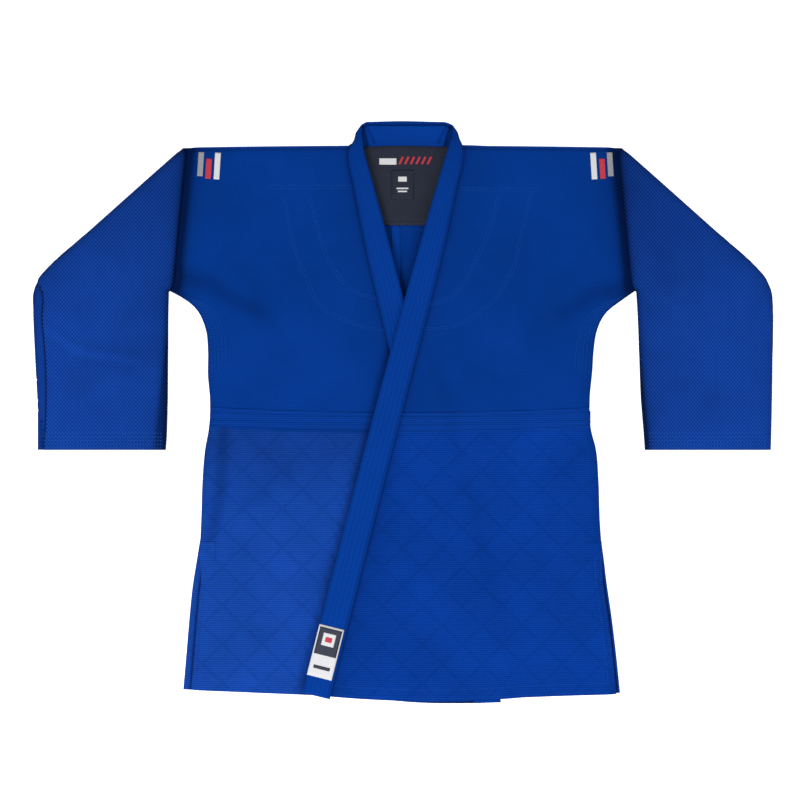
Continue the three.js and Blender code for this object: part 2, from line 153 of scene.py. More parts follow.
UNDERARM = {
    LEFT: eased([(0.1824, 0.3517), (0.17, 0.333), (0.153, 0.31), (0.138, 0.299), (0.123, 0.293),
                 (0.093, 0.288), (0.063, 0.286), (0.018, 0.282), (-0.027, 0.284), (-0.055, 0.291),
                 (-0.102, 0.295), (-0.162, 0.297), (-0.207, 0.3)]),
    RIGHT: eased([(0.1824, 0.3517), (0.168, 0.325), (0.153, 0.309), (0.138, 0.301), (0.123, 0.296),
                  (0.093, 0.293), (0.055, 0.293), (0.018, 0.29), (-0.027, 0.292), (-0.055, 0.297),
                  (-0.102, 0.301), (-0.162, 0.303), (-0.207, 0.305)]),
}
BACK_TAIL = {
    LEFT: eased(
        [
            (-0.19, 0.2985), (-0.222, 0.303), (-0.252, 0.3065), (-0.312, 0.315), (-0.357, 0.3205),
            (-0.425, 0.3275)
        ]
    ),
    RIGHT: eased(
        [
            (-0.19, 0.304), (-0.222, 0.309), (-0.267, 0.316), (-0.312, 0.3205), (-0.372, 0.3255),
            (-0.425, 0.33)
        ]
    ),
}


def body_side(side, y):
    """How far out the body's edge is at height y: armhole, underarm curve, then side seam."""
    armhole = ARMPIT[0] + (SHOULDER[0] - ARMPIT[0]) * (y - ARMPIT[1]) / (SHOULDER[1] - ARMPIT[1])
    return np.where(y > ARMPIT[1], armhole, UNDERARM[side](y))


def seam_reach(y):
    """How far short of its edge a panel stops: past the armhole line, inside the side fold."""
    return np.where(y > ARMPIT[1], -0.0004, 0.0012)


def spread(count, crowd=0.75):
    """Steps from 0 to 1, closer together towards both ends."""
    u = np.linspace(0, 1, count)
    return u - crowd * np.sin(2 * np.pi * u) / (2 * np.pi)


def waves(x, y, size, seed):
    """Gentle unevenness of cloth that has been smoothed out by hand, from -1 to 1."""
    draw = np.random.default_rng(seed)
    total = np.zeros(np.broadcast(x, y).shape)
    for scale in (1.0, 1.0, 1.7, 1.7, 2.9, 2.9):
        angle, phase = draw.uniform(0, np.pi), draw.uniform(0, 2 * np.pi)
        across = x * np.sin(angle) - y * np.cos(angle)
        bend = 0.7 * np.sin(2 * np.pi * scale * across / (2.3 * size) + phase)
        along = x * np.cos(angle) + y * np.sin(angle)
        total += np.sin(2 * np.pi * scale * along / size + phase + bend) / scale
    return total / 3.2


def distance(x, y, line):
    """How far points are from a line of straight pieces."""
    best = np.full(np.broadcast(x, y).shape, 9.0)
    for (ax, ay), (bx, by) in zip(line[:-1], line[1:]):
        dx, dy = bx - ax, by - ay
        t = np.clip(((x - ax) * dx + (y - ay) * dy) / (dx * dx + dy * dy), 0, 1)
        best = np.minimum(best, np.hypot(x - ax - t * dx, y - ay - t * dy))
    return best


def rounded(away, reach):
    """0 at a folded edge, rising like a quarter circle to 1 at reach."""
    return np.sqrt(1 - (1 - np.clip(away / reach, 0, 1)) ** 2)


def soft(away, reach):
    """0 to 1 over reach, soft at both ends."""
    t = np.clip(away / reach, 0, 1)
    return t * t * (3 - 2 * t)


def bell(away, width):
    """1 on a line, falling off on both sides of it."""
    return np.exp(-((away / width) ** 2))


def fade(away, reach):
    """1 at an edge, fading away from it."""
    return np.exp(-away / reach)


def cloth_mesh(name, points, pattern, thickness, material, tube=False, deep=None):
    """A sheet through a grid of points (rows, columns, xyz), with its pattern's plan as UV.
    Its last argument, from 0 to 1, is painted shade: it darkens the cloth's colour in tucks,
    folds, corners and under edges, where shade falls."""
    rows, columns = points.shape[:2]
    mesh = bpy.data.meshes.new(name)
    index = np.arange(rows * columns).reshape(rows, columns)
    if tube:
        index = np.concatenate([index, index[:, :1]], 1)
    quads = [index[:-1, :-1], index[1:, :-1], index[1:, 1:], index[:-1, 1:]]
    corners = np.stack(quads, -1).reshape(-1, 4)
    r, c = rows // 2, columns // (4 if tube else 2)
    if np.cross(points[r + 1, c] - points[r, c], points[r, c + 1] - points[r, c])[2] < 0:
        corners = corners[:, ::-1]
    mesh.from_pydata(points.reshape(-1, 3).tolist(), [], corners.tolist())
    layer = mesh.uv_layers.new(name="plan")
    plan = pattern.reshape(-1, 2)[corners.reshape(-1)]
    layer.data.foreach_set("uv", plan.astype(np.float32).ravel())
    if deep is not None:
        painted_shade_layer = mesh.attributes.new("deep", "FLOAT", "POINT")
        shares = np.broadcast_to(deep, points.shape[:2])
        painted_shade_layer.data.foreach_set("value", shares.astype(np.float32).ravel())
    mesh.materials.append(material)
    piece = bpy.data.objects.new(name, mesh)
    scene.collection.objects.link(piece)
    if thickness:
        wall = piece.modifiers.new("wall", "SOLIDIFY")
        wall.thickness, wall.offset = thickness, 0.0
        finished(piece)
    piece.data.polygons.foreach_set("use_smooth", [True] * len(piece.data.polygons))
    return piece


def finished(piece):
    """Turns a piece and its modifiers into one plain mesh."""
    settled = piece.evaluated_get(bpy.context.evaluated_depsgraph_get())
    made = bpy.data.meshes.new_from_object(settled)
    piece.modifiers.clear()
    piece.data = made
    return piece


def placed_as(piece, body=None, stands_for=None):
    """Hides the CAD parts a piece stands for, and hangs the piece on the body it rides."""
    if stands_for is not None:
        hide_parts(*stands_for)
    if body:
        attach(piece, body)


def add_node(tree, kind, **inputs):
    node = tree.nodes.new(kind)
    for key, value in inputs.items():
        if key in ("operation", "data_type", "blend_type"):
            setattr(node, key, value)
    for key, value in inputs.items():
        if key.startswith("in"):
            socket = node.inputs[int(key[2:])]
            if isinstance(value, bpy.types.NodeSocket):
                tree.links.new(value, socket)
            else:
                socket.default_value = value
    return node


def maths(tree, operation, a, b=0.0, c=0.0):
    return add_node(tree, "ShaderNodeMath", operation=operation, in0=a, in1=b, in2=c).outputs[0]


def effect_group(name, sizes, outputs=("Height", "Shade")):
    """A shader node group on the cloth's plan, for an effect that several cloths share."""
    group = bpy.data.node_groups.new(name, "ShaderNodeTree")
    group.interface.new_socket("Plan", in_out="INPUT", socket_type="NodeSocketVector")
    for label, value in sizes.items():
        socket = group.interface.new_socket(label, in_out="INPUT", socket_type="NodeSocketFloat")
        socket.default_value = value
    for label in outputs:
        group.interface.new_socket(label, in_out="OUTPUT", socket_type="NodeSocketFloat")
    given = group.nodes.new("NodeGroupInput").outputs
    return group, given, group.nodes.new("NodeGroupOutput").inputs


def noise_on(tree, place, scale):
    noise = add_node(tree, "ShaderNodeTexNoise")
    tree.links.new(place, noise.inputs["Vector"])
    if scale:
        noise.inputs["Scale"].default_value = scale
    return noise


# Rice-grain rows: raised grains on an offset lattice, a grain long and a grain wide apart.
GRAINS = {"Grain Length": 0.005, "Row Pair": 0.006}
grain_weave, given, out = effect_group("grain_weave", GRAINS)
grain_maths = partial(maths, grain_weave)
plan = add_node(grain_weave, "ShaderNodeSeparateXYZ", in0=given["Plan"]).outputs
wave_x, wave_y = (
    grain_maths(
        "COSINE", grain_maths("DIVIDE", grain_maths("MULTIPLY", along, 2 * math.pi), pitch)
    )
    for along, pitch in ((plan[0], given["Grain Length"]), (plan[1], given["Row Pair"]))
)
half_sum = grain_maths("MULTIPLY", grain_maths("ADD", wave_x, wave_y), 0.5)
grain = grain_maths("POWER", grain_maths("ABSOLUTE", half_sum), 1.3)
thread = noise_on(grain_weave, given["Plan"], 900)
grain_weave.links.new(grain_maths("MULTIPLY_ADD", thread.outputs[0], 0.35, grain), out["Height"])
grain_weave.links.new(
    grain_maths("MULTIPLY_ADD", thread.outputs[0], 0.25, grain_maths("MULTIPLY", grain, 0.85)),
    out["Shade"]
)

# Dye that has faded a little unevenly, in wide soft clouds.
dye_clouds, given, out = effect_group("dye_clouds", {"Cloud Scale": 7.0}, ["Cloud"])
cloud = noise_on(dye_clouds, given["Plan"], None)
dye_clouds.links.new(given["Cloud Scale"], cloud.inputs["Scale"])
set_inputs(cloud, Detail=7, Roughness=0.62)
span = add_node(
    dye_clouds, "ShaderNodeMapRange", in0=cloud.outputs[0], in1=0.3, in2=0.7, in3=0.0, in4=1.0
)
dye_clouds.links.new(span.outputs[0], out["Cloud"])


# How far painted shade may darken a cloth's colour.
PAINTED_SHADE_STRENGTH = 0.85


def on_plan(tree, group):
    """A group node that follows the cloth's plan."""
    plan = tree.nodes.new("ShaderNodeUVMap")
    plan.uv_map = "plan"
    pattern = tree.nodes.new("ShaderNodeGroup")
    pattern.node_tree = group
    tree.links.new(plan.outputs[0], pattern.inputs["Plan"])
    return pattern


def mixed_tone(tree, share, dark, light, socket):
    """A colour between a dark and a light one, into a socket."""
    tone = add_node(tree, "ShaderNodeMix", data_type="RGBA", in6=(*dark, 1), in7=(*light, 1))
    tree.links.new(share, tone.inputs[0])
    tree.links.new(tone.outputs[2], socket)


def raised(tree, pattern, main, relief):
    """The pattern's height, as relief on the cloth's face."""
    bump = tree.nodes.new("ShaderNodeBump")
    bump.inputs["Distance"].default_value = relief
    tree.links.new(pattern.outputs["Height"], bump.inputs["Height"])
    tree.links.new(bump.outputs[0], main.inputs["Normal"])
    return bump


def cotton(name, weave, sizes, dark, light, relief, roughness=0.86, cloud=0.16, sheen=0.05):
    """A dyed cotton: the weave's shade between a dark and a light colour, with dye clouds,
    darkened by painted shade from a mesh attribute.
    """
    material, tree, main = shader(name)
    pattern = on_plan(tree, weave)
    for label, value in sizes.items():
        pattern.inputs[label].default_value = value
    clouds = on_plan(tree, dye_clouds)
    faded = add_node(tree, "ShaderNodeMix", data_type="RGBA", blend_type="MULTIPLY", in0=1.0)
    mixed_tone(tree, pattern.outputs["Shade"], dark, light, faded.inputs[6])
    level = maths(tree, "MULTIPLY_ADD", clouds.outputs["Cloud"], cloud, 1 - cloud / 2)
    # Painted shade: a mesh attribute darkens the colour in tucks, folds and corners.
    painted_shade_layer = tree.nodes.new("ShaderNodeAttribute")
    painted_shade_layer.attribute_name = "deep"
    shade = maths(tree, "MULTIPLY_ADD", painted_shade_layer.outputs["Fac"], -PAINTED_SHADE_STRENGTH, 1.0)
    level = maths(tree, "MULTIPLY", level, shade)
    grey = add_node(tree, "ShaderNodeCombineColor", in0=level, in1=level, in2=level)
    tree.links.new(grey.outputs[0], faded.inputs[7])
    tree.links.new(faded.outputs[2], main.inputs["Base Color"])
    raised(tree, pattern, main, relief).inputs["Strength"].default_value = 0.8
    set_inputs(main, Roughness=roughness, Specular_IOR_Level=0.03, Sheen_Weight=sheen)
    set_inputs(main, Sheen_Roughness=0.5, Sheen_Tint=(0.06, 0.25, 1.0, 1))
    return material


body_cotton = cotton(
    "body_pearl_weave", grain_weave, GRAINS, DARK_BLUE, LIGHT_BLUE, 0.0006, cloud=0.26
)
STEP = 0.005


def flat_grid(inner, outer, tops, bottom, rows=None, columns=None):
    """Plan of a panel: inner and outer edges by height, a top height, and a hem line by x."""
    rows = rows or int((tops - bottom(np.array([0.0]))[0]) / STEP) + 2
    t = spread(rows, 0.6)[:, None]
    y0 = tops + (bottom(np.array([0.2]))[0] - tops) * t
    xin, xout = inner(y0), outer(y0)
    columns = columns or int(np.abs(xout - xin).max() / STEP) + 2
    s = spread(columns)[None, :]
    x = xin + (xout - xin) * s
    y = tops + (bottom(x) - tops) * t
    return x, y


def level_line(y):
    return lambda x: np.full(np.shape(x), y)


for side, label in SIDES:
    x, y = flat_grid(
        lambda h: np.full(h.shape, BACK_SEAM + side * 0.0001),
        lambda h: side * (body_side(side, h) - seam_reach(h)),
        0.3955, level_line(WAIST + 0.0002),
    )
    grid = np.stack([x, y, BACK_LEVEL + 0 * x], -1)
    # Painted shadow that the lapels cast on the back, inside the V of the neck.
    under_lapels = np.minimum(
        distance(x, y, [(0.041, 0.3), (0.004, 0.1845)]),
        distance(x, y, [(-0.034, 0.318), (0.004, 0.1845)])
    )
    back = cloth_mesh(
        f"upper_back_{label}", grid, grid[..., :2], CLOTH, body_cotton,
        deep=0.4 * fade(under_lapels, 0.008)
    )
    placed_as(back, "torso", [f"back_{label}_panel"])

# ---------------------------------------------------------------- stitching
# Every seam is topstitched with blue cotton thread, a little lighter than the cloth. A
# stitch is a short bead of thread, lying in rows along the seams.
THREAD_LENGTH, THREAD_WIDTH, THREAD_GAP = 0.003, 0.0007, 0.0012
FINE_ROW = (0.0006, 0.0028, 0.0014)


def spun_thread(name, dark, light):
    """Twisted cotton thread, lighter and darker along its length."""
    material, tree, main = shader(name)
    set_inputs(main, Roughness=0.75, Specular_IOR_Level=0.05)
    twist = add_node(tree, "ShaderNodeTexNoise")
    place = tree.nodes.new("ShaderNodeTexCoord")
    tree.links.new(place.outputs["Object"], twist.inputs["Vector"])
    twist.inputs["Scale"].default_value = 400
    mixed_tone(tree, twist.outputs[0], dark, light, main.inputs["Base Color"])
    return material


thread_cotton = spun_thread("seam_thread", (0.0075, 0.068, 0.35), (0.024, 0.13, 0.56))
quilt_thread = spun_thread("quilt_thread", (0.0025, 0.04, 0.24), (0.008, 0.066, 0.38))

stitching = bpy.data.node_groups.new("stitch_rows", "GeometryNodeTree")
stitching.interface.new_socket("Seam Lines", in_out="INPUT", socket_type="NodeSocketGeometry")
for label, value in (
    ("Stitch Length", THREAD_LENGTH), ("Thread Width", THREAD_WIDTH), ("Gap", THREAD_GAP)
):
    socket = stitching.interface.new_socket(label, in_out="INPUT", socket_type="NodeSocketFloat")
    socket.default_value = value
stitching.interface.new_socket("Thread", in_out="INPUT", socket_type="NodeSocketMaterial")
stitching.interface.new_socket("Stitches", in_out="OUTPUT", socket_type="NodeSocketGeometry")
given, out = (
    stitching.nodes.new("NodeGroupInput").outputs, stitching.nodes.new("NodeGroupOutput").inputs
)
to_curve = stitching.nodes.new("GeometryNodeMeshToCurve")
even = stitching.nodes.new("GeometryNodeResampleCurve")
even.mode = "LENGTH"
bead = stitching.nodes.new("GeometryNodeMeshUVSphere")
bead.inputs["Segments"].default_value, bead.inputs["Rings"].default_value = 6, 4
bead.inputs["Radius"].default_value = 0.5
shape = stitching.nodes.new("ShaderNodeCombineXYZ")
along = stitching.nodes.new("GeometryNodeInputTangent")
turn = stitching.nodes.new("FunctionNodeAlignRotationToVector")
turn.axis = "X"
place = stitching.nodes.new("GeometryNodeInstanceOnPoints")
real = stitching.nodes.new("GeometryNodeRealizeInstances")
smooth = stitching.nodes.new("GeometryNodeSetShadeSmooth")
paint = stitching.nodes.new("GeometryNodeSetMaterial")
step = maths(stitching, "ADD", given["Stitch Length"], given["Gap"])
for a, b in (
    (given["Seam Lines"], to_curve.inputs["Mesh"]), (to_curve.outputs[0], even.inputs["Curve"]),
    (step, even.inputs["Length"]), (even.outputs[0], place.inputs["Points"]),
    (bead.outputs["Mesh"], place.inputs["Instance"]), (along.outputs[0], turn.inputs["Vector"]),
    (turn.outputs[0], place.inputs["Rotation"]), (given["Stitch Length"], shape.inputs[0]),
    (given["Thread Width"], shape.inputs[1]), (given["Thread Width"], shape.inputs[2]),
    (shape.outputs[0], place.inputs["Scale"]), (place.outputs[0], real.inputs[0]),
    (real.outputs[0], smooth.inputs[0]), (smooth.outputs[0], paint.inputs["Geometry"]),
    (given["Thread"], paint.inputs["Material"]), (paint.outputs[0], out[0]),
):
    stitching.links.new(a, b)
SOCKETS = {
    item.name: item.identifier for item in stitching.interface.items_tree if item.in_out == "INPUT"
}


def stitch(
    name, lines, width=THREAD_WIDTH, length=THREAD_LENGTH, gap=THREAD_GAP, thread=thread_cotton
):
    """Rows of stitches along lines, each an array of points."""
    mesh = bpy.data.meshes.new(name)
    points, edges = [], []
    for line in lines:
        first = len(points)
        points += np.asarray(line).tolist()
        edges += [(i, i + 1) for i in range(first, len(points) - 1)]
    mesh.from_pydata(points, edges, [])
    piece = bpy.data.objects.new(name, mesh)
    scene.collection.objects.link(piece)
    rows = piece.modifiers.new("rows", "NODES")
    rows.node_group = stitching
    rows[SOCKETS["Stitch Length"]], rows[SOCKETS["Thread Width"]] = length, width
    rows[SOCKETS["Gap"]], rows[SOCKETS["Thread"]] = gap, thread
    return finished(piece)


def along_line(points, step=0.004):
    """Points every step along a line through a few points, rounded where it turns."""
    p = np.array(points, float)
    run = np.concatenate([[0], np.cumsum(np.hypot(*np.diff(p, axis=0).T))])
    t = np.linspace(0, run[-1], max(int(run[-1] / step), 4))
    slope = np.gradient(p, run, axis=0)
    i = np.clip(np.searchsorted(run, t) - 1, 0, len(run) - 2)
    h = (run[i + 1] - run[i])[:, None]
    s = ((t - run[i]) / h[:, 0])[:, None]
    return eased_span(s, h, (p[i], p[i + 1]), (slope[i], slope[i + 1]))


def on_top(line, height, lift=CLOTH / 2):
    """A plan line laid on the cloth whose height is given."""
    x, y = line[:, 0], line[:, 1]
    return np.stack([x, y, height(x, y) + lift], -1)


# ---------------------------------------------------------------- back seam tape
# A narrow drill tape lies over the seam down the middle of the back, on the inside. It
# is sewn down along both edges, and its upper end is caught under the neck yoke.
def strip(name, x, y, z, thickness, material, body, replaces, deep=None):
    """A flat strip or patch of cloth from a plan grid and a height grid."""
    grid = np.stack(np.broadcast_arrays(x, y, z), -1)
    piece = cloth_mesh(name, grid, grid[..., :2], thickness, material, deep=deep)
    placed_as(piece, body, replaces)
    return piece, grid


DRILL_RIB = {"Rib Pitch": 0.0016}
twill, given, out = effect_group("twill", DRILL_RIB)
twill_maths = partial(maths, twill)
plan = add_node(twill, "ShaderNodeSeparateXYZ", in0=given["Plan"]).outputs
lean = twill_maths("MULTIPLY_ADD", plan[0], 0.8, twill_maths("MULTIPLY", plan[1], 0.6))
rib = twill_maths(
    "COSINE", twill_maths("DIVIDE", twill_maths("MULTIPLY", lean, 2 * math.pi), given["Rib Pitch"])
)
fleck = noise_on(twill, given["Plan"], 500)
twill.links.new(twill_maths("MULTIPLY_ADD", rib, 0.3, fleck.outputs[0]), out["Height"])
twill.links.new(twill_maths("MULTIPLY_ADD", rib, 0.15, fleck.outputs[0]), out["Shade"])
drill = cotton(
    "lapel_drill", twill, DRILL_RIB, (0.0004, 0.029, 0.215), (0.0014, 0.057, 0.39), 0.00025, 0.8,
    0.12, 0.05
)

TAPE_LEVEL, THIN_CLOTH = 0.0029, 0.0008
y = np.linspace(0.001, 0.2845, 57)[:, None]
x = np.linspace(-0.016, -0.004, 5)[None, :]
tape, grid = strip(
    "back_tape", x, y, TAPE_LEVEL - 0.0007 * soft(y - 0.276, 0.006), THIN_CLOTH, drill,
    "torso", ["back_seam_tape"]
)
y = y[y[:, 0] < 0.278, 0]
edge_rows = [np.stack([0 * y + e, y, 0 * y + 0.0034], -1) for e in (-0.015, -0.005)]
x = np.linspace(-0.004, 0.03, 12)
edge_rows.append(np.stack([x, 0.2745 + 0 * x, 0.0026 + 0 * x], -1))
seam_rows = stitch("back_seam_stitches", edge_rows)
placed_as(seam_rows, "torso")

# ---------------------------------------------------------------- back skirt and waist band
# Below the waist the back is diamond-weave cotton, a little wider than the fronts. A
# ribbed band is sewn over the waist seam.
DIAMONDS = {
    "Rib Pitch": 0.0028, "Diamond Width": 0.06, "Diamond Height": 0.058, "Line Depth": 1.0
}
diamond_weave, given, out = effect_group("diamond_weave", DIAMONDS)
rib_maths = partial(maths, diamond_weave)
plan = add_node(diamond_weave, "ShaderNodeSeparateXYZ", in0=given["Plan"]).outputs
dots = []
for axis, turns in enumerate((1.25 * math.pi, 2 * math.pi)):
    along = rib_maths("MULTIPLY", plan[axis], turns)
    dots.append(rib_maths("COSINE", rib_maths("DIVIDE", along, given["Rib Pitch"])))
ribs = rib_maths("MULTIPLY_ADD", dots[1], 0.35, 0.5)
ribs = rib_maths("MULTIPLY_ADD", rib_maths("MULTIPLY", dots[0], dots[1]), 0.12, ribs)
cell_x = rib_maths("DIVIDE", plan[0], given["Diamond Width"])
cell_y = rib_maths("DIVIDE", plan[1], given["Diamond Height"])
lines = []
for operation in ("ADD", "SUBTRACT"):
    slant = rib_maths(operation, cell_x, cell_y)
    back_and_forth = rib_maths("ABSOLUTE", rib_maths("SUBTRACT", rib_maths("FRACT", slant), 0.5))
    ramp = add_node(
        diamond_weave, "ShaderNodeMapRange", in0=back_and_forth, in1=0.012, in2=0.105, in3=1.0,
        in4=0.0
    )
    ramp.interpolation_type = "SMOOTHSTEP"
    lines.append(ramp.outputs[0])
line = rib_maths("MULTIPLY", rib_maths("MAXIMUM", lines[0], lines[1]), given["Line Depth"])
dashed = rib_maths(
    "MULTIPLY", line,
    rib_maths("MULTIPLY_ADD", rib_maths("MULTIPLY", dots[0], dots[1]), 0.45, 0.55)
)
shaded = rib_maths("SUBTRACT", ribs, rib_maths("MULTIPLY", dashed, 0.23))
thread = noise_on(diamond_weave, given["Plan"], 700)
diamond_weave.links.new(
    rib_maths(
        "MULTIPLY_ADD", thread.outputs[0], 0.3,
        rib_maths("SUBTRACT", ribs, rib_maths("MULTIPLY", dashed, 0.5))
    ),
    out["Height"]
)
diamond_weave.links.new(rib_maths("MULTIPLY_ADD", thread.outputs[0], 0.2, shaded), out["Shade"])
skirt_cotton = cotton(
    "skirt_diamond_weave", diamond_weave, DIAMONDS, (0.0015, 0.03, 0.205), (0.0105, 0.074, 0.45),
    0.0007, cloud=0.38
)
SKIRT_COTTON_WITH_SHADED_LEFT = {RIGHT: skirt_cotton}
# The left front's skirt takes a darker copy of the same cloth: painted shade for the side the
# light reaches less.
SKIRT_COTTON_WITH_SHADED_LEFT[LEFT] = cotton(
    "left_skirt_diamond_weave", diamond_weave, DIAMONDS, (0.0003, 0.0235, 0.182),
    (0.0024, 0.052, 0.38), 0.0007, cloud=0.3
)
band_cotton = cotton(
    "waist_band_weave", diamond_weave, {**DIAMONDS, "Line Depth": 0.0}, (0.0004, 0.022, 0.182),
    (0.003, 0.053, 0.345), 0.0006
)


def waist_sag(x):
    """The waist seam hangs a little in the middle."""
    return -0.0025 + 0.008 * (x / 0.29) ** 2


hem_back = lambda x: -0.4262 + np.where(x > 0, 0.0032, 0.0085) * (x / 0.33) ** 2
y_top = SKIRT_TOP + 0.0004
rows, columns = 82, 134
t, s = spread(rows, 0.5)[:, None], spread(columns, 0.6)[None, :]
y = y_top + (hem_back(0 * s) - y_top) * t
ends = {side: np.where(y > -0.2, UNDERARM[side](y), BACK_TAIL[side](y)) for side in (LEFT, RIGHT)}
x = -ends[RIGHT] + (ends[LEFT] + ends[RIGHT]) * s
y = y_top + (hem_back(x) - y_top) * t
VENT_GAP = {LEFT: 0.005, RIGHT: 0.011}
# Painted shade along both vents, where the fronts' edges lie on the back tail.
shade = sum(
    0.85 * bell(BACK_TAIL[side](y) - side * x - VENT_GAP[side] + 0.0004, 0.0022)
    for side in (LEFT, RIGHT)
)
skirt, grid = strip(
    "back_tail", x, y, BACK_LEVEL, CLOTH, skirt_cotton, "torso", ["back_skirt"],
    shade
)
x = np.linspace(-0.2835, 0.283, 110)[None, :]
y = np.linspace(0.0015, -0.029, 8)[:, None]
band, grid = strip(
    "back_waist", x, y, 0.0028, 0.001, band_cotton, "torso", ["back_waist_band"]
)

# ---------------------------------------------------------------- sleeves
# Each sleeve is one tube of pearl weave, lying flat: the upper arm slopes down from the
# shoulder, the elbow bends, and the forearm hangs straight to a cuff with five rows.
SLEEVE_MIDDLE, SLEEVE_HALF = 0.0075, 0.0064
SEAM_HEIGHT = 0.0074
CUFF = -0.057
SLEEVE_LIP = 0.0055
CUFF_ROWS = (-0.032, -0.0375, -0.043, -0.0485, -0.054)
OUTER_ARM = {
    LEFT: [(0.3303, 0.3958), (0.4, 0.334), (0.47, 0.2715), (0.5255, 0.2225), (0.544, 0.202),
        (0.5535, 0.18),
           (0.5557, 0.15), (0.555, 0.08), (0.554, 0.01), (0.5525, CUFF)],
    RIGHT: [(0.3303, 0.3958), (0.4, 0.334), (0.47, 0.2715), (0.527, 0.2215), (0.5455, 0.201),
        (0.554, 0.181),
            (0.5545, 0.15), (0.5515, 0.08), (0.5478, 0.01), (0.5475, CUFF)],
}
INNER_ARM = {
    LEFT: [
        (0.352, 0.1826), (0.3535, 0.16), (0.356, 0.1), (0.359, 0.02), (0.3635, -0.035),
        (0.365, CUFF)
    ],
    RIGHT: [
        (0.352, 0.1826), (0.3525, 0.16), (0.353, 0.1), (0.3535, 0.02), (0.355, -0.035),
        (0.3565, CUFF)
    ],
}
ELBOW = 0.53
sleeve_cotton = cotton(
    "sleeve_pearl_weave", grain_weave, GRAINS, (0.0012, 0.027, 0.205), (0.0125, 0.082, 0.475),
    0.0008, cloud=0.34
)


UNDER_STRIP = eased(
    [
        (0.23, 0.59), (0.192, 0.5465), (0.136, 0.5405), (0.075, 0.5355), (0.021, 0.5345),
        (-0.025, 0.536), (-0.058, 0.539)
    ]
)
UNDER_LEVEL = 0.0052


def sleeve_height(side, x, y, shrink=0.0):
    """Top of the flattened sleeve tube, at the middle of the cloth; x is given outwards."""
    folds = np.minimum(distance(x, y, OUTER_ARM[side]), distance(x, y, INNER_ARM[side]))
    z = SLEEVE_MIDDLE + (SLEEVE_HALF - shrink) * rounded(folds, 0.012)
    z -= 0.001 * soft(folds, 0.03) * (0.5 + 0.5 * waves(x, y, 0.11, 11 + side))
    lip = np.array([SLEEVE_LIP, 0.0])
    armhole = distance(x, y, [tuple(SHOULDER - lip), tuple(ARMPIT - lip)])
    seam = SEAM_HEIGHT + (z - SEAM_HEIGHT) * rounded(armhole, 0.011)
    z = np.minimum(z, np.where(folds < 1e-6, z, seam))
    for row in CUFF_ROWS:
        z = z - 0.0006 * bell(y - row, 0.0012) * soft(folds, 0.01)
    if side == RIGHT:
        crease = distance(x, y, [(0.533, 0.127), (0.49, 0.097), (0.44, 0.087), (0.401, 0.081)])
        z = z + 0.0026 * bell(crease, 0.007) * soft(folds, 0.02)
        crease = distance(x, y, [(0.53, 0.116), (0.488, 0.085), (0.438, 0.075), (0.405, 0.069)])
        z = z - 0.0018 * bell(crease, 0.008) * soft(folds, 0.02)
        inside = soft(UNDER_STRIP(y) - x, 0.0024)
        z = np.where(folds < 1e-6, z, UNDER_LEVEL + (z - UNDER_LEVEL) * inside)
    else:
        crease = distance(x, y, [(0.384, 0.174), (0.404, 0.145), (0.42, 0.11)])
        z = z - 0.0008 * bell(crease, 0.007) * soft(folds, 0.02)
    return z


def arm_edges(side, t):
    """Inner and outer edge of the sleeve for a share t of its length."""
    outer, inner = along_line(OUTER_ARM[side], 0.002), along_line(INNER_ARM[side], 0.002)
    gain = np.where(t < ELBOW, 0.22 * t / ELBOW, 0.22 + 0.78 * (t - ELBOW) / (1 - ELBOW))


    def at(line, share):
        along = np.linspace(0, 1, len(line))
        return np.stack([np.interp(share, along, line[:, k]) for k in (0, 1)], -1)

    return at(inner, gain), at(outer, t)


def sleeve_tube(name, side, lengths, shrink, thickness, material, inset=0.0):
    inner, outer = arm_edges(side, lengths)
    gap = (outer - inner) / np.linalg.norm(outer - inner, axis=1)[:, None]
    inner, outer = inner + gap * inset, outer - gap * inset
    fine = spread(90, 0.85)
    s = np.concatenate([fine[:82] * 0.9 / fine[82], np.linspace(0.9, 1.0, 30)])[None, :, None]
    plan = inner[:, None] + (outer - inner)[:, None] * s
    low_plan = plan.copy()
    ends = 0.5 + 0.5 * soft(np.minimum(s[..., 0], 1 - s[..., 0]), 0.06)
    if not inset:
        plan[..., 0] -= SLEEVE_LIP * (1 - soft(lengths, 0.03))[:, None] * ends
    x, y = plan[..., 0], plan[..., 1]
    top = sleeve_height(side, x, y, shrink)
    x, y = low_plan[..., 0], low_plan[..., 1]
    folds = np.minimum(distance(x, y, OUTER_ARM[side]), distance(x, y, INNER_ARM[side]))
    low = SLEEVE_MIDDLE - (SLEEVE_HALF - shrink) * rounded(folds, 0.012)
    if inset:
        squeeze = rounded(np.minimum(s[..., 0], 1 - s[..., 0]) * 0.19, 0.006)
        top, low = (SLEEVE_MIDDLE + (face - SLEEVE_MIDDLE) * squeeze for face in (top, low))
    top_points = np.stack([side * plan[..., 0], plan[..., 1], top], -1)
    low_points = np.stack([side * x, y, low], -1)[:, -2:0:-1]
    grid = np.concatenate([top_points, low_points], 1)
    x, y = plan[..., 0], plan[..., 1]
    # Painted shade: a band beside the armhole seam, along the folded edges, more towards the
    # shoulder, and on the right sleeve along the step of the under strip.
    armhole = (x - SHOULDER[0] + SLEEVE_LIP) * 0.995 + (SHOULDER[1] - y) * -0.101
    deep = 0.55 * fade(np.maximum(armhole, 0), 0.004) + 0.22 * fade(np.maximum(armhole, 0), 0.03)
    deep += 0.5 * fade(folds, 0.0035) + 0.24 * soft(y - 0.1, 0.24)
    if side == RIGHT:
        deep += 0.8 * bell(UNDER_STRIP(y) - x + 0.0005, 0.0024)
    deep = np.clip(deep, 0, 1)
    deep = np.concatenate([deep, deep[:, -2:0:-1]], 1)
    piece = cloth_mesh(name, grid, grid[..., :2], thickness, material, tube=True, deep=deep)
    return piece, top_points


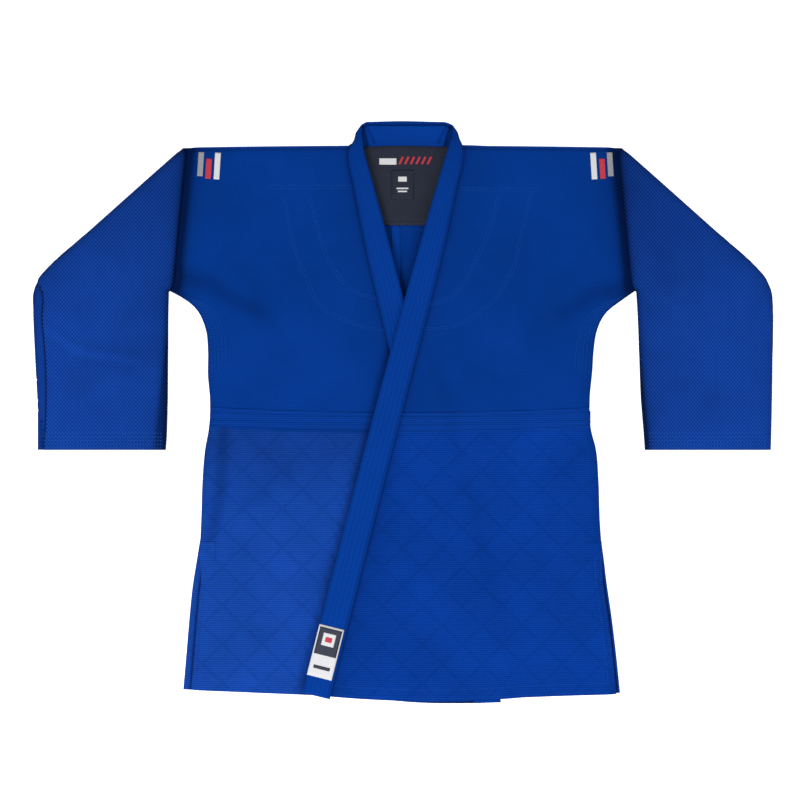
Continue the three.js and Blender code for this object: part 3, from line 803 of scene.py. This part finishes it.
for side, label in SIDES:
    lengths = np.concatenate([np.linspace(0, 0.925, 100), np.linspace(0.927, 1.0, 42)])
    sleeve, top = sleeve_tube(f"arm_{label}", side, lengths, 0.0, CLOTH, sleeve_cotton)
    placed_as(sleeve, f"{label}_sleeve", [f"sleeve_{label}"])
    facing, top = sleeve_tube(
        f"cuff_lining_{label}", side, np.linspace(0.918, 0.994, 12), 0.0025, 0.0012, drill, 0.004
    )
    placed_as(facing, f"{label}_sleeve", [f"cuff_facing_{label}"])
    rows = []
    for row in CUFF_ROWS:
        inner, outer = arm_edges(side, np.array([1.0]))
        x = np.arange(inner[0, 0] + 0.006, outer[0, 0] - 0.006, 0.004)
        line = on_top(np.stack([x, 0 * x + row], -1), lambda a, b: sleeve_height(side, a, b))
        rows.append(line * (side, 1, 1))
    cuff_rows = stitch(f"cuff_stitches_{label}", rows, 0.001, 0.0034, 0.001)
    placed_as(cuff_rows, f"{label}_sleeve")

# ---------------------------------------------------------------- underarm gussets
# A gusset of pearl weave is sewn in under each arm. It lies folded in half inside the
# sleeve while the arm is down, and shows when the arm is raised.
GUSSET_TOP, GUSSET_LOW, GUSSET_CLOTH = 0.0052, 0.0032, 0.0016
GUSSET_LEAF = (0.003, 0.2126)
fold = np.radians([30, 60, 90, 120, 150])
for side, label in SIDES:
    turn = np.radians(np.linspace(5.7, 41.2, 34))[:, None]
    leaf, back_leaf = (np.linspace(*ends, 42) for ends in (GUSSET_LEAF, GUSSET_LEAF[::-1]))
    reach = np.concatenate([leaf, GUSSET_LEAF[1] + 0.001 * np.sin(fold), back_leaf])[None, :]
    faces = np.full(42, GUSSET_TOP), 0.0042 + 0.001 * np.cos(fold), np.full(42, GUSSET_LOW)
    level = np.concatenate(faces)[None, :]
    x = side * (SHOULDER[0] + reach * np.sin(turn))
    y = SHOULDER[1] + 0.0003 - reach * np.cos(turn)
    gusset, grid = strip(
        f"gusset_{label}", x, y, level, GUSSET_CLOTH, sleeve_cotton, "torso",
        [f"underarm_gusset_{label}"]
    )

# ---------------------------------------------------------------- neck yoke
# A dark satin lining is sewn inside the back of the neck with two rows along its foot.
# A small woven size label and plain woven marks are sewn onto it.
def twilled(name, base, other, roughness=0.6, pitch=0.0012):
    """Fine twill woven from a darker and a lighter thread."""
    material, tree, main = shader(name)
    pattern = on_plan(tree, twill)
    set_inputs(pattern, Rib_Pitch=pitch)
    mixed_tone(tree, pattern.outputs["Shade"], base, other, main.inputs["Base Color"])
    raised(tree, pattern, main, 0.0002)
    main.inputs["Roughness"].default_value = roughness
    return material, main


def woven(name, base, other, roughness=0.6):
    """Fine woven ribbon in one colour."""
    return twilled(name, base, other, roughness)[0]


satin, main = twilled("yoke_satin", (0.006, 0.009, 0.02), (0.03, 0.037, 0.062), 0.5, 0.0011)
main.inputs["Specular IOR Level"].default_value = 0.15


def yoke_height(x, y):
    sag = 0.0006 * waves(x, y, 0.07, 5) + 0.0004
    return 0.0031 + np.maximum(sag, 0)


YOKE_FOOT = 0.2808
x, v = np.meshgrid(np.linspace(-0.1, 0.1, 80), np.linspace(0, 1, 50))
y = YOKE_FOOT + (0.3955 + 0.0085 * soft(0.088 - np.abs(x), 0.012) - YOKE_FOOT) * (1 - v)
yoke, grid = strip(
    "neck_yoke", x, y, yoke_height(x, y), THIN_CLOTH, satin, "torso",
    ["neck_yoke_lining"]
)
dark_thread = spun_thread("yoke_thread", (0.03, 0.035, 0.05), (0.1, 0.11, 0.15))
lines = []
for h in (YOKE_FOOT + 0.003, YOKE_FOOT + 0.009):
    lines.append(on_top(along_line([(-0.097, h), (0, h), (0.097, h)]), yoke_height, 0.0005))
yoke_rows = stitch("yoke_stitches", lines, 0.0005, 0.0024, 0.001, dark_thread)
placed_as(yoke_rows, "torso")


navy_ribbon = woven("navy_ribbon", (0.006, 0.009, 0.024), (0.02, 0.027, 0.06))
pale_ribbon = woven("pale_ribbon", (0.62, 0.62, 0.64), (0.82, 0.82, 0.84))
grey_ribbon = woven("grey_ribbon", (0.22, 0.22, 0.24), (0.4, 0.4, 0.43))
red_ribbon = woven("red_ribbon", (0.42, 0.01, 0.03), (0.66, 0.03, 0.06))


def patch(
    name, centre, size, turn, height, thickness, material, body, replaces=()
):
    """A flat woven patch, turned about its centre, following the cloth under it."""
    u, v = np.meshgrid(np.linspace(-0.5, 0.5, 12) * size[0], np.linspace(-0.5, 0.5, 16) * size[1])
    c, s = math.cos(turn), math.sin(turn)
    x, y = centre[0] + u * c - v * s, centre[1] + u * s + v * c
    piece, grid = strip(name, x, y, height(x, y), thickness, material, body, replaces)


def over(height, lift):
    """The height of something that lies on a cloth, lift above it."""
    return lambda x, y: height(x, y) + lift


label_height = over(yoke_height, 0.0008)
SIZE_LABEL_Y = 0.3423
patch(
    "size_label", (0.0, SIZE_LABEL_Y), (0.034, 0.044), 0.0, label_height, 0.0005, satin,
    "torso", ["neck_size_label"]
)
SIZE_MARKS = [
    (0, 0.008, 0.013, 0.0075), (0, -0.006, 0.018, 0.0022), (0, -0.0105, 0.014, 0.0022),
    (-0.022, 0.0345, 0.026, 0.0095),
]
for k, (across, drop, *size) in enumerate(SIZE_MARKS):
    place = (across, SIZE_LABEL_Y + drop)
    patch(
        f"size_mark_{k}", place, tuple(size), 0.0, over(label_height, 0.0004), 0.0003, pale_ribbon,
        "torso"
    )
for k in range(6):
    place = (-0.002 + 0.0085 * k, 0.3785)
    patch(
        f"yoke_mark_{k}", place, (0.003, 0.0125), -0.45, over(yoke_height, 0.0007), 0.0003,
        red_ribbon, "torso"
    )

# ---------------------------------------------------------------- fronts
# Each front is pearl weave down to the waist and diamond weave below, joined under a
# ribbed band. The left one laps over the right one.
FRONT_LEVEL, EDGE_LEVEL, SEAM_LEVEL, LAP_LIFT = 0.0114, 0.0034, 0.0047, 0.0068
LAPEL_WIDTH = eased(
    [
        (0.0, 0.0132), (0.015, 0.02), (0.03, 0.0248), (0.05, 0.0272), (0.12, 0.0297),
        (0.233, 0.035), (0.33, 0.038), (0.6, 0.041), (1.0, 0.0425)
    ]
)
NECK_POINT = np.array([0.068, 0.4128])
BEND_POINT = np.array([-0.0049, 0.1681])
FOOT_POINT = np.array([-0.148, -0.42])
FOOT_DROP = {LEFT: 0.0, RIGHT: 0.0155}
NECK_SHIFT = {LEFT: 0.0, RIGHT: 0.0036}
LAPEL_EASE = {LEFT: (0.0055, -0.002), RIGHT: (-0.008, 0.0)}


def lapel_plan(side, t, across):
    """Plan point of a lapel, t along it from the neck to the foot, across from its free edge."""
    t, across = np.broadcast_arrays(np.asarray(t, float), np.asarray(across, float))
    bend = [(1 - t) ** 2, 2 * t * (1 - t), t**2]
    line = sum(w[..., None] * p for w, p in zip(bend, (NECK_POINT, BEND_POINT, FOOT_POINT)))
    line[..., 0] += LAPEL_EASE[side][0] * (1 - t) + LAPEL_EASE[side][1] * t
    line[..., 0] += NECK_SHIFT[side] * soft(t, 0.05) * (1 - t)
    first, last = BEND_POINT - NECK_POINT, FOOT_POINT - BEND_POINT
    heading = 2 * ((1 - t)[..., None] * first + t[..., None] * last)
    heading /= np.linalg.norm(heading, axis=-1)[..., None]
    width = LAPEL_WIDTH(t)
    out = np.stack([-heading[..., 1], heading[..., 0]], -1)
    point = line + out * (across * width)[..., None]
    point[..., 1] -= FOOT_DROP[side] * (1 - 0.55 * across) * soft(t - 0.955, 0.045)
    return point * np.array([side, 1])


def lapel_edge(side, across):
    """x of a line along the lapel for any y."""
    line = lapel_plan(side, np.linspace(-0.05, 1.04, 220), across)
    return lambda y: np.interp(-y, -line[:, 1], line[:, 0])


free = {side: lapel_edge(side, 0.0) for side in (LEFT, RIGHT)}
sewn = {side: lapel_edge(side, 1.0) for side in (LEFT, RIGHT)}


def front_side(side, y):
    """How far out a front reaches: the side seam, and below it the open vent's edge."""
    vent = (
        np.where(y > -0.207, UNDERARM[side](y), BACK_TAIL[side](y))
        - VENT_GAP[side] * soft(-0.2 - y, 0.06)
    )
    return np.where(y > ARMPIT[1], body_side(side, y), vent)


def side_line(side):
    y = np.concatenate([np.linspace(ARMPIT[1], 0.09, 18), np.linspace(0.08, -0.44, 24)])
    return list(zip(front_side(side, y - 1e-6), y))


SIDE_LINES = {side: side_line(side) for side in (LEFT, RIGHT)}
CREASES = {
    LEFT: [
        ([(0.3, 0.01), (0.297, -0.09), (0.302, -0.19)], 0.012, 0.0012),
        ([(0.325, 0.188), (0.285, 0.18), (0.245, 0.15)], 0.012, -0.0022),
        ([(0.27, 0.23), (0.235, 0.19), (0.215, 0.14)], 0.016, -0.001),
    ],
    RIGHT: [
        ([(0.268, -0.03), (0.272, -0.12), (0.29, -0.2)], 0.009, -0.0026),
        ([(0.325, 0.202), (0.29, 0.197), (0.25, 0.17), (0.218, 0.154)], 0.012, -0.0024),
        ([(0.262, 0.235), (0.225, 0.2), (0.2, 0.14)], 0.016, -0.001),
    ],
}


def shoulder_line(x):
    """The shoulder seam, rising a little towards the neck."""
    return 0.3968 + 0.003 * (1 - (x / 0.33) ** 2)


def front_height(side, x, y):
    """Middle of a front's cloth; it rounds down to its folds and to the armhole seam."""
    out = x * side
    z = FRONT_LEVEL - 0.0009 * (0.5 + 0.5 * waves(x, y, 0.21, 3 + side))
    for line, width, depth in CREASES[side]:
        z = z + depth * bell(distance(out, y, line), width)
    armhole = distance(out, y, [tuple(SHOULDER), tuple(ARMPIT)])
    side_fold = EDGE_LEVEL + (z - EDGE_LEVEL) * rounded(distance(out, y, SIDE_LINES[side]), 0.018)
    top_fold = EDGE_LEVEL + (z - EDGE_LEVEL) * rounded(shoulder_line(x) + 0.0003 - y, 0.014)
    seam = SEAM_LEVEL + (z - SEAM_LEVEL) * soft(armhole - 0.008, 0.03)
    z = np.minimum(np.minimum(side_fold, top_fold), seam)
    if side == LEFT:
        lapped = soft(free[RIGHT](y) + 0.04 - x, 0.036)
        hemmed = soft(sewn[LEFT](y) + 0.042 - x, 0.036)
        z = z + LAP_LIFT * np.maximum(lapped, hemmed)
    return z


def opens(piece):
    """Bakes the piece's placement into its mesh."""
    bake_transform(piece)


HEM = {
    LEFT: eased(
        [
            (-0.15, -0.4215), (-0.107, -0.4262), (-0.04, -0.431), (0.026, -0.433), (0.1, -0.432),
            (0.146, -0.43), (0.24, -0.4262), (0.33, -0.4236)
        ]
    ),
    RIGHT: eased(
        [
            (-0.33, -0.417), (-0.22, -0.4215), (-0.107, -0.4265), (-0.04, -0.431),
            (0.026, -0.4362), (0.1, -0.437), (0.16, -0.435)
        ]
    ),
}


def front_grid(side, top, bottom, rows):
    """Plan of part of a front between two lines that give y for any x."""
    t = spread(rows, 0.6)[:, None]
    s = spread(72, 0.6)[None, :]
    y = top(0.15 * side) + (bottom(0.15 * side) - top(0.15 * side)) * t
    for _ in range(3):
        inner, outer = sewn[side](y) - side * 0.004, side * (front_side(side, y) - seam_reach(y))
        x = inner + (outer - inner) * s
        y = top(x) + (bottom(x) - top(x)) * t
    return x, y


def front_deep(side, x, y):
    """Painted shade on a front: by the armhole, under the arm, in its creases, at its side fold,
    beside the lapel and along the shoulder seam; on the right front also under the left front's
    edge and below the waist.
    """
    out = x * side
    armhole = distance(out, y, [tuple(SHOULDER), tuple(ARMPIT)])
    deep = 0.78 * (1 - soft(armhole - 0.009, 0.018)) + 0.28 * bell(armhole, 0.045)
    for line, width, depth in CREASES[side]:
        deep = deep + max(-depth, 0) * 110 * bell(distance(out, y, line) / width, 1.2)
    deep += 0.4 * fade(distance(out, y, SIDE_LINES[side]), 0.004)
    lapel = np.abs(x - sewn[side](y))
    deep += 0.45 * fade(lapel, 0.0035) + 0.12 * fade(lapel, 0.03)
    deep += 0.38 * bell(shoulder_line(x) - 0.005 - y, 0.0016)
    if side == RIGHT:
        under = 0.5 * soft(x - free[LEFT](y) + 0.012, 0.012)
        deep += under + 0.2 * soft(y + 0.17, 0.13) * soft(-0.02 - y, 0.008)
    return np.clip(deep, 0, 0.9)


def front_piece(name, side, x, y, raised, thickness, material, replaces):
    grid = np.stack([x, y, front_height(side, x, y) + raised], -1)
    piece = cloth_mesh(name, grid, grid[..., :2], thickness, material, deep=front_deep(side, x, y))
    placed_as(piece, stands_for=replaces)
    opens(piece)
    return piece


for side, label in SIDES:
    x, y = front_grid(side, shoulder_line, lambda x: waist_sag(x) - 0.004, 84)
    front_piece(
        f"upper_front_{label}", side, x, y, 0.0, CLOTH, body_cotton,
        [f"front_{label}_panel", f"front_{label}_panel_side"]
    )
    x, y = front_grid(side, lambda x: waist_sag(x) - 0.0235, HEM[side], 86)
    front_piece(
        f"skirt_{label}", side, x, y, 0.0, CLOTH, SKIRT_COTTON_WITH_SHADED_LEFT[side],
        [f"skirt_front_{label}", f"skirt_front_{label}_side"]
    )
    x, y = front_grid(side, lambda x: waist_sag(x) + 0.002, lambda x: waist_sag(x) - 0.029, 22)
    swell = (
        0.0009 + 0.0009 * np.sin(np.pi * np.linspace(0, 1, 22)[:, None]) ** 0.5
        - 0.0006 * np.cos(2 * np.pi * np.linspace(0, 4, 22)[:, None])
    )
    front_piece(
        f"waist_{label}", side, x, y, swell, 0.0014, band_cotton,
        [f"waist_band_{label}", f"waist_band_{label}_side"],
    )

# ---------------------------------------------------------------- front stitching
# Double rows outline the lining behind each front; single rows hold the waist band and
# the hem, and curved rows strengthen the underarms.
CHEST_CURVES = {
    LEFT: (
        [
            (0.142, 0.324), (0.13, 0.277), (0.111, 0.234), (0.09, 0.195), (0.07, 0.174),
            (0.04, 0.163)
        ],
        [(0.192, 0.33), (0.178, 0.272), (0.164, 0.217), (0.145, 0.181), (0.116, 0.152),
         (0.078, 0.131), (0.027, 0.126)],
    ),
    RIGHT: (
        [(0.137, 0.322), (0.117, 0.249), (0.104, 0.22), (0.073, 0.184), (0.037, 0.171)],
        [(0.175, 0.32), (0.161, 0.248), (0.143, 0.204), (0.122, 0.161), (0.086, 0.14),
         (0.06, 0.13), (0.018, 0.124)],
    ),
}
YOKE_LINE = {LEFT: (0.336, 0.088, 0.2), RIGHT: (0.34, 0.078, 0.2)}
for side, label in SIDES:
    lines = []
    for curve in CHEST_CURVES[side]:
        line = along_line(curve)
        for shift in (0.0, 0.0042):
            lines.append(
                np.stack([side * (line[:, 0] + shift * 0.7), line[:, 1] - shift * 0.7], -1)
            )
    level, near, far = YOKE_LINE[side]
    for shift in (0.0, 0.0042):
        across = (side * near, side * (near + far) / 2, side * far)
        lines.append(along_line([(x, level - shift) for x in across]))
    inner = sewn[side](np.array([-0.01, -0.4]))
    for drop in (0.0005, -0.027):
        x = np.arange(*sorted((inner[0] + side * 0.003, side * 0.276)), 0.004)
        lines.append((np.stack([x, waist_sag(x) + drop], -1), 0.0013))
    inner = sewn[side](np.array([-0.405]))[0] + side * 0.003
    x = np.arange(*sorted((inner, side * 0.312)), 0.004)
    lines += [np.stack([x, HEM[side](x) + rise], -1) for rise in (0.017, 0.004)]
    for k in range(5):
        y = np.linspace(0.172, 0.06 + 0.004 * k, 34)
        lines.append(
            np.stack([side * (UNDERARM[side](y) - 0.006 - 0.0055 * k), y - 0.0015 * k], -1)
        )
    y = np.linspace(-0.215, -0.405, 48)
    for inset in (0.004, 0.012):
        lines.append(np.stack([side * (front_side(side, y) - inset), y], -1))
    height = lambda x, y: front_height(side, x, y)
    placed = [
        on_top(line[0], height, line[1] + 0.001)
        if isinstance(line, tuple)
        else on_top(line, height, 0.0011)
        for line in lines
    ]
    rows = stitch(f"front_stitches_{label}", placed, *FINE_ROW)
    opens(rows)

# ---------------------------------------------------------------- lapels
# A folded band of drill over a canvas core, quilted with six rows along its length. It
# is sewn to the front's edge, runs from the collar to the hem, and ends squared off.
LAPEL_BASE = {LEFT: 0.0171, RIGHT: 0.0103}
LAPEL_THICKNESS = 0.0065
QUILT_ROWS = [0.085 + 0.166 * k for k in range(6)]
NECK_TURN = {
    LEFT: [
        ((0.0722, 0.4312), (0.0738, 0.432)), ((0.0742, 0.4275), (0.0765, 0.4294)),
        ((0.0747, 0.423), (0.0798, 0.425)), ((0.0742, 0.418), (0.0832, 0.4195))
    ],
    RIGHT: [
        ((0.0598, 0.4325), (0.0605, 0.433)), ((0.0602, 0.4275), (0.0636, 0.4292)),
        ((0.0603, 0.423), (0.0668, 0.4246)), ((0.0602, 0.418), (0.0704, 0.4195))
    ],
}


NECK_RUN, NECK_PACE = 0.018, 0.505


def neck_settle(side, run):
    """How much lower the lapel lies near its neck end, where it comes down to the collar."""
    return (1 - soft(run, 0.065)) * (LAPEL_BASE[side] - 0.0062)


def lapel_rise(side, t, across):
    """Height of the lapel's top face over its base."""
    width = LAPEL_WIDTH(np.clip(t, 0, 1))
    u = across * width
    z = (
        LAPEL_THICKNESS * (0.5 + 0.5 * rounded(u, 0.0034))
        * (1 - 0.45 * (1 - soft(width - u, 0.006)))
    )
    for row in QUILT_ROWS:
        z = z - 0.0006 * bell((across - row) * width, 0.0012)
    return z - 0.0004 * (0.5 + 0.5 * waves(t * 0.85, across * 0.04, 0.09, 21 + side))


def lapel_ring_plan(side, lengths, shares):
    """Plan of the lapel, with the few turns that take it round the neck corner first."""
    plan = lapel_plan(side, lengths[:, None], shares[None, :])
    turns = np.array(NECK_TURN[side])
    head = turns[:, None, 0] + (turns[:, None, 1] - turns[:, None, 0]) * shares[None, :, None]
    head[..., 0] *= side
    return head, plan


def lofted(name, top, low, pattern, material, deep=0.0):
    """A closed padded strip between a top and a low face over one plan."""
    grid = np.concatenate([top, low[:, ::-1]], 1)
    uv = np.concatenate([pattern, pattern[:, ::-1]], 1)
    deep = np.broadcast_to(deep, top.shape[:2])
    piece = cloth_mesh(
        name, grid, uv, 0.0, material, tube=True, deep=np.concatenate([deep, deep[:, ::-1]], 1)
    )
    closed = bmesh.new()
    closed.from_mesh(piece.data)
    bmesh.ops.remove_doubles(closed, verts=closed.verts, dist=2e-6)
    bmesh.ops.dissolve_degenerate(closed, edges=closed.edges, dist=1e-7)
    closed.to_mesh(piece.data)
    closed.free()
    return piece


def ends_closed(length, reach):
    """Share of thickness along a strip that closes at both ends."""
    return rounded(np.minimum(length, length[-1] - length), reach)[:, None]


canvas = woven("core_canvas", (0.42, 0.38, 0.3), (0.6, 0.56, 0.46), 0.9)
for side, label in SIDES:
    shares = spread(46, 0.55)
    lengths = np.concatenate(
        [np.linspace(0, 0.99, 150), 1 - 0.01 * (1 - np.array([0.3, 0.6, 0.8, 0.93, 0.985, 1.0]))]
    )
    head, plan = lapel_ring_plan(side, lengths, shares)
    flat = np.concatenate([head, plan])
    t = np.concatenate([np.zeros(len(head)), lengths])[:, None] + 0 * shares
    run = np.concatenate([[0], np.cumsum(np.linalg.norm(np.diff(flat[:, 20], axis=0), axis=1))])
    closing = ends_closed(run, 0.0035)
    closing[:4] = np.maximum(closing[:4], [[0.0], [0.5], [0.8], [1.0]])
    settle = neck_settle(side, run)[:, None]
    rise = lapel_rise(side, t, shares[None, :])
    fall = LAPEL_THICKNESS * (0.5 - 0.5 * rounded(shares[None, :] * LAPEL_WIDTH(t), 0.0034))
    middle = (rise + fall) / 2
    base = LAPEL_BASE[side] - settle
    top = np.concatenate([flat, (base + middle + (rise - middle) * closing)[..., None]], -1)
    low = np.concatenate([flat, (base + middle + (fall - middle) * closing)[..., None]], -1)
    pattern = np.stack([run[:, None] + 0 * t, shares[None, :] * 0.042 + 0 * t], -1)
    u = shares[None, :] * LAPEL_WIDTH(t)
    # Painted shade along both long edges of the lapel, towards its neck end, and in the quilting
    # rows.
    deep = (
        0.45 * fade(u, 0.0016) + 0.5 * fade(LAPEL_WIDTH(t) - u, 0.0022)
        + 0.16 * np.exp(-((run[:, None] + 0 * t) / 0.05))
    )
    for row in QUILT_ROWS:
        deep = deep + 0.16 * bell((shares[None, :] - row) * LAPEL_WIDTH(t), 0.0011)
    lapel = lofted(f"lapel_band_{label}", top, low, pattern, drill, np.clip(deep, 0, 0.9))
    placed_as(lapel, stands_for=[f"lapel_{label}", f"lapel_{label}_neck_end"])
    opens(lapel)
    inside = np.linspace(0.1, 0.9, 14)
    lengths = np.linspace(0.03, 0.985, 120)
    _, plan = lapel_ring_plan(side, lengths, inside)
    run = np.linspace(0, 0.83, 120)
    bulge = (
        ends_closed(run, 0.004)
        * rounded(np.minimum(inside - 0.1, 0.9 - inside) * 0.04, 0.0018)[None, :] * 0.0014
    )
    level = LAPEL_BASE[side] + 0.0028 - neck_settle(side, NECK_RUN + NECK_PACE * lengths)[:, None]
    pattern = np.stack([run[:, None] + 0 * bulge, inside[None, :] * 0.042 + 0 * bulge], -1)
    core = lofted(
        f"lapel_canvas_{label}", np.dstack([plan, level + bulge]),
        np.dstack([plan, level - bulge]), pattern, canvas
    )
    placed_as(core, stands_for=[f"lapel_{label}_core"])
    opens(core)
    lines = []
    for row in QUILT_ROWS:
        t = np.linspace(0.004, 0.992, 220)
        plan = lapel_plan(side, t, row)
        level = (
            LAPEL_BASE[side] - neck_settle(side, NECK_RUN + NECK_PACE * t)
            + lapel_rise(side, t, row)
        )
        lines.append(np.column_stack([plan, level + 0.0001]))
    for t_row in (0.982, 0.97, 0.958):
        across = np.linspace(0.08, 0.92, 14)
        plan = lapel_plan(side, t_row, across)
        level = LAPEL_BASE[side] + lapel_rise(side, t_row + 0 * across, across)
        lines.append(np.column_stack([plan, level + 0.0001]))
    rows = stitch(f"lapel_stitches_{label}", lines, *FINE_ROW, quilt_thread)
    opens(rows)

# ---------------------------------------------------------------- collar
# Behind the neck the same band lies folded flat with its inner face up, a rolled edge
# along its top, and puckered corners where it turns into the lapels.
COLLAR_LEFT, COLLAR_RIGHT, COLLAR_LOW, COLLAR_TOP = 0.0772, -0.0652, 0.3995, 0.4367
x = np.linspace(COLLAR_RIGHT, COLLAR_LEFT, 90)[None, :]
v = spread(56, 0.5)[:, None]
CORNER_DROP = np.where(x > 0, 0.0045, 0.0062)
corner = np.maximum(np.maximum((x - 0.06) / 0.0145, (-0.0525 - x) / 0.01), 0)
y = (
    COLLAR_LOW + 0.0006 * np.cos(x / 0.02)
    + (COLLAR_TOP - CORNER_DROP * corner**2 - COLLAR_LOW) * v
)
closing = rounded(np.minimum(x - COLLAR_RIGHT, COLLAR_LEFT - x), 0.004)
edges = rounded(np.minimum(v, 1 - v) * 0.036, 0.003)
rise = 0.003 * edges * closing
middle = 0.0066 + 0 * x * v
roll = y - (COLLAR_TOP - CORNER_DROP * corner**2 - 0.0056)
rise = rise - 0.002 * bell(roll, 0.0011) * edges * closing
# Painted shade in the groove under the rolled top edge, on the rolled edge, along the foot, and in
# the puckers at both corners.
deep = (
    0.6 * bell(roll, 0.0012) + 0.3 * soft(y - 0.4312, 0.001) + 0.25 * fade(y - COLLAR_LOW, 0.006)
)
for side, at in ((LEFT, 0.072), (RIGHT, 0.06)):
    for (ax, ay), (bx, by), width, depth in (
        ((0.0, 0.431), (-0.007, 0.401), 0.003, 0.003),
        ((-0.005, 0.432), (-0.018, 0.405), 0.0022, 0.0015),
        ((0.004, 0.431), (0.0, 0.4), 0.003, 0.002)
    ):
        away = distance(side * x + 0 * y, y, [(at + ax, ay), (at + bx, by)])
        rise = rise - depth * bell(away, width) * edges * closing
        deep = deep + 230 * depth * bell(away, width) * soft(0.4312 - y, 0.003)
rise = rise + 0.0004 * waves(x + 0 * y, y, 0.03, 8) * edges * closing
flat = np.dstack([x + 0 * y, y])
drop = 0.003 * edges * closing
collar = lofted(
    "collar_band", np.dstack([flat, middle + rise]), np.dstack([flat, middle - drop]), flat, drill,
    np.clip(deep, 0, 0.9)
)
placed_as(collar, "torso", ["collar_back_band"])
x, v = np.linspace(-0.062, 0.066, 60)[None, :], spread(12)[:, None]
y = 0.4075 + 0.014 * v + 0 * x
bulge = (
    0.0008 * rounded(np.minimum(v, 1 - v) * 0.014, 0.002)
    * rounded(np.minimum(x + 0.062, 0.066 - x), 0.003)
)
flat = np.dstack([x + 0 * y, y])
core = lofted(
    "collar_canvas", np.dstack([flat, 0.0052 + bulge]), np.dstack([flat, 0.0052 - bulge]), flat,
    canvas
)
placed_as(core, "torso", ["collar_back_core"])

# ---------------------------------------------------------------- linings and seam tapes
# A second layer of cotton backs each front from the shoulder to the chest rows, and
# narrow tapes lie inside the side and shoulder seams.
VENT_CORNER_Y = -0.2087
LINING_EDGE = eased(
    [
        (0.02, 0.128), (0.078, 0.133), (0.116, 0.154), (0.145, 0.183), (0.164, 0.219),
        (0.176, 0.272), (0.184, 0.327)
    ]
)
for side, label in SIDES:
    t, s = np.linspace(0, 1, 50)[:, None], np.linspace(0, 1, 34)[None, :]
    y = 0.3925 - 0.2 * t + 0 * s
    for _ in range(4):
        inner = side * sewn[side](y) + 0.002
        x = inner + (0.184 - inner) * s
        y = 0.3925 + (LINING_EDGE(x) - 0.3925) * t
    x = side * x
    grid = np.stack([x, y, front_height(side, x, y) - 0.0018], -1)
    lining = cloth_mesh(f"chest_lining_{label}", grid, grid[..., :2], THIN_CLOTH, body_cotton)
    cad_linings = (
        [f"shoulder_lining_{label}"] + (["shoulder_lining_left_side"] if side == LEFT else [])
    )
    placed_as(lining, stands_for=cad_linings)
    opens(lining)
    y = np.linspace(0.172, -0.206, 80)[:, None]
    out = front_side(side, y) - np.linspace(0.015, 0.004, 4)[None, :]
    tape, grid = strip(
        f"side_tape_{label}", side * out, y, TAPE_LEVEL, THIN_CLOTH, drill,
        "torso", [f"side_seam_tape_{label}"]
    )
    x = side * np.linspace(0.104, 0.322, 44)[None, :]
    y = np.linspace(0.392, 0.381, 4)[:, None]
    tape, grid = strip(
        f"shoulder_tape_{label}", x, y, TAPE_LEVEL, THIN_CLOTH, drill, "torso",
        [f"shoulder_seam_tape_{label}"]
    )
    out = float(front_side(side, np.array([VENT_CORNER_Y]))[0]) - 0.0135
    patch(
        f"vent_corner_{label}", (side * out, VENT_CORNER_Y), (0.024, 0.028), 0.0,
        over(partial(front_height, side), 0.0011), 0.0005, SKIRT_COTTON_WITH_SHADED_LEFT[side],
        "torso", [f"vent_patch_{label}"]
    )

# ---------------------------------------------------------------- emblems and lapel label
# Plain satin-stitched bars mark each shoulder, and a woven label with plain fields is
# sewn near the foot of the left lapel.
EMBLEM_OUT = {LEFT: 0.299, RIGHT: 0.29}
EMBLEM_BARS = (
    (-0.012, 0.0, 0.04, pale_ribbon), (0.001, -0.004, 0.03, red_ribbon),
    (0.013, 0.003, 0.036, grey_ribbon),
)
for side, label in SIDES:
    height = over(partial(front_height, side), 0.0014)
    for k, (shift, low, tall, ribbon) in enumerate(EMBLEM_BARS):
        place = (side * (EMBLEM_OUT[side] + shift), 0.369 + low)
        cad_emblem = [] if k else [f"shoulder_emblem_{label}"]
        patch(
            f"emblem_bar_{label}_{k}", place, (0.0085, tall), side * 0.06, height, 0.0007, ribbon,
            "torso", cad_emblem
        )
heading = lapel_plan(LEFT, np.array([0.9, 0.96]), 0.5)
turn = math.atan2(*(heading[0] - heading[1])[::-1]) - math.pi / 2
lie = lambda lift: (lambda x, y: LAPEL_BASE[LEFT] + LAPEL_THICKNESS + lift + 0 * x)
middle = np.array([-0.115, -0.359])
fields = (
    ("lapel_label_cloth", 0.0, (0.038, 0.078), 0.0003, pale_ribbon, ["lapel_label"]),
    ("lapel_label_field", 0.0155, (0.034, 0.041), 0.0006, navy_ribbon, []),
    ("lapel_label_square", 0.019, (0.019, 0.019), 0.0009, pale_ribbon, []),
    ("lapel_label_bar", 0.019, (0.01, 0.0075), 0.0012, red_ribbon, []),
    ("lapel_label_line", -0.024, (0.025, 0.005), 0.0006, navy_ribbon, []),
)
for name, shift, size, lift, ribbon, stands_for in fields:
    centre = middle + shift * np.array([-math.sin(turn), math.cos(turn)])
    patch(
        name, centre, size, turn, lie(lift), 0.0003, ribbon, "left_front",
        stands_for
    )
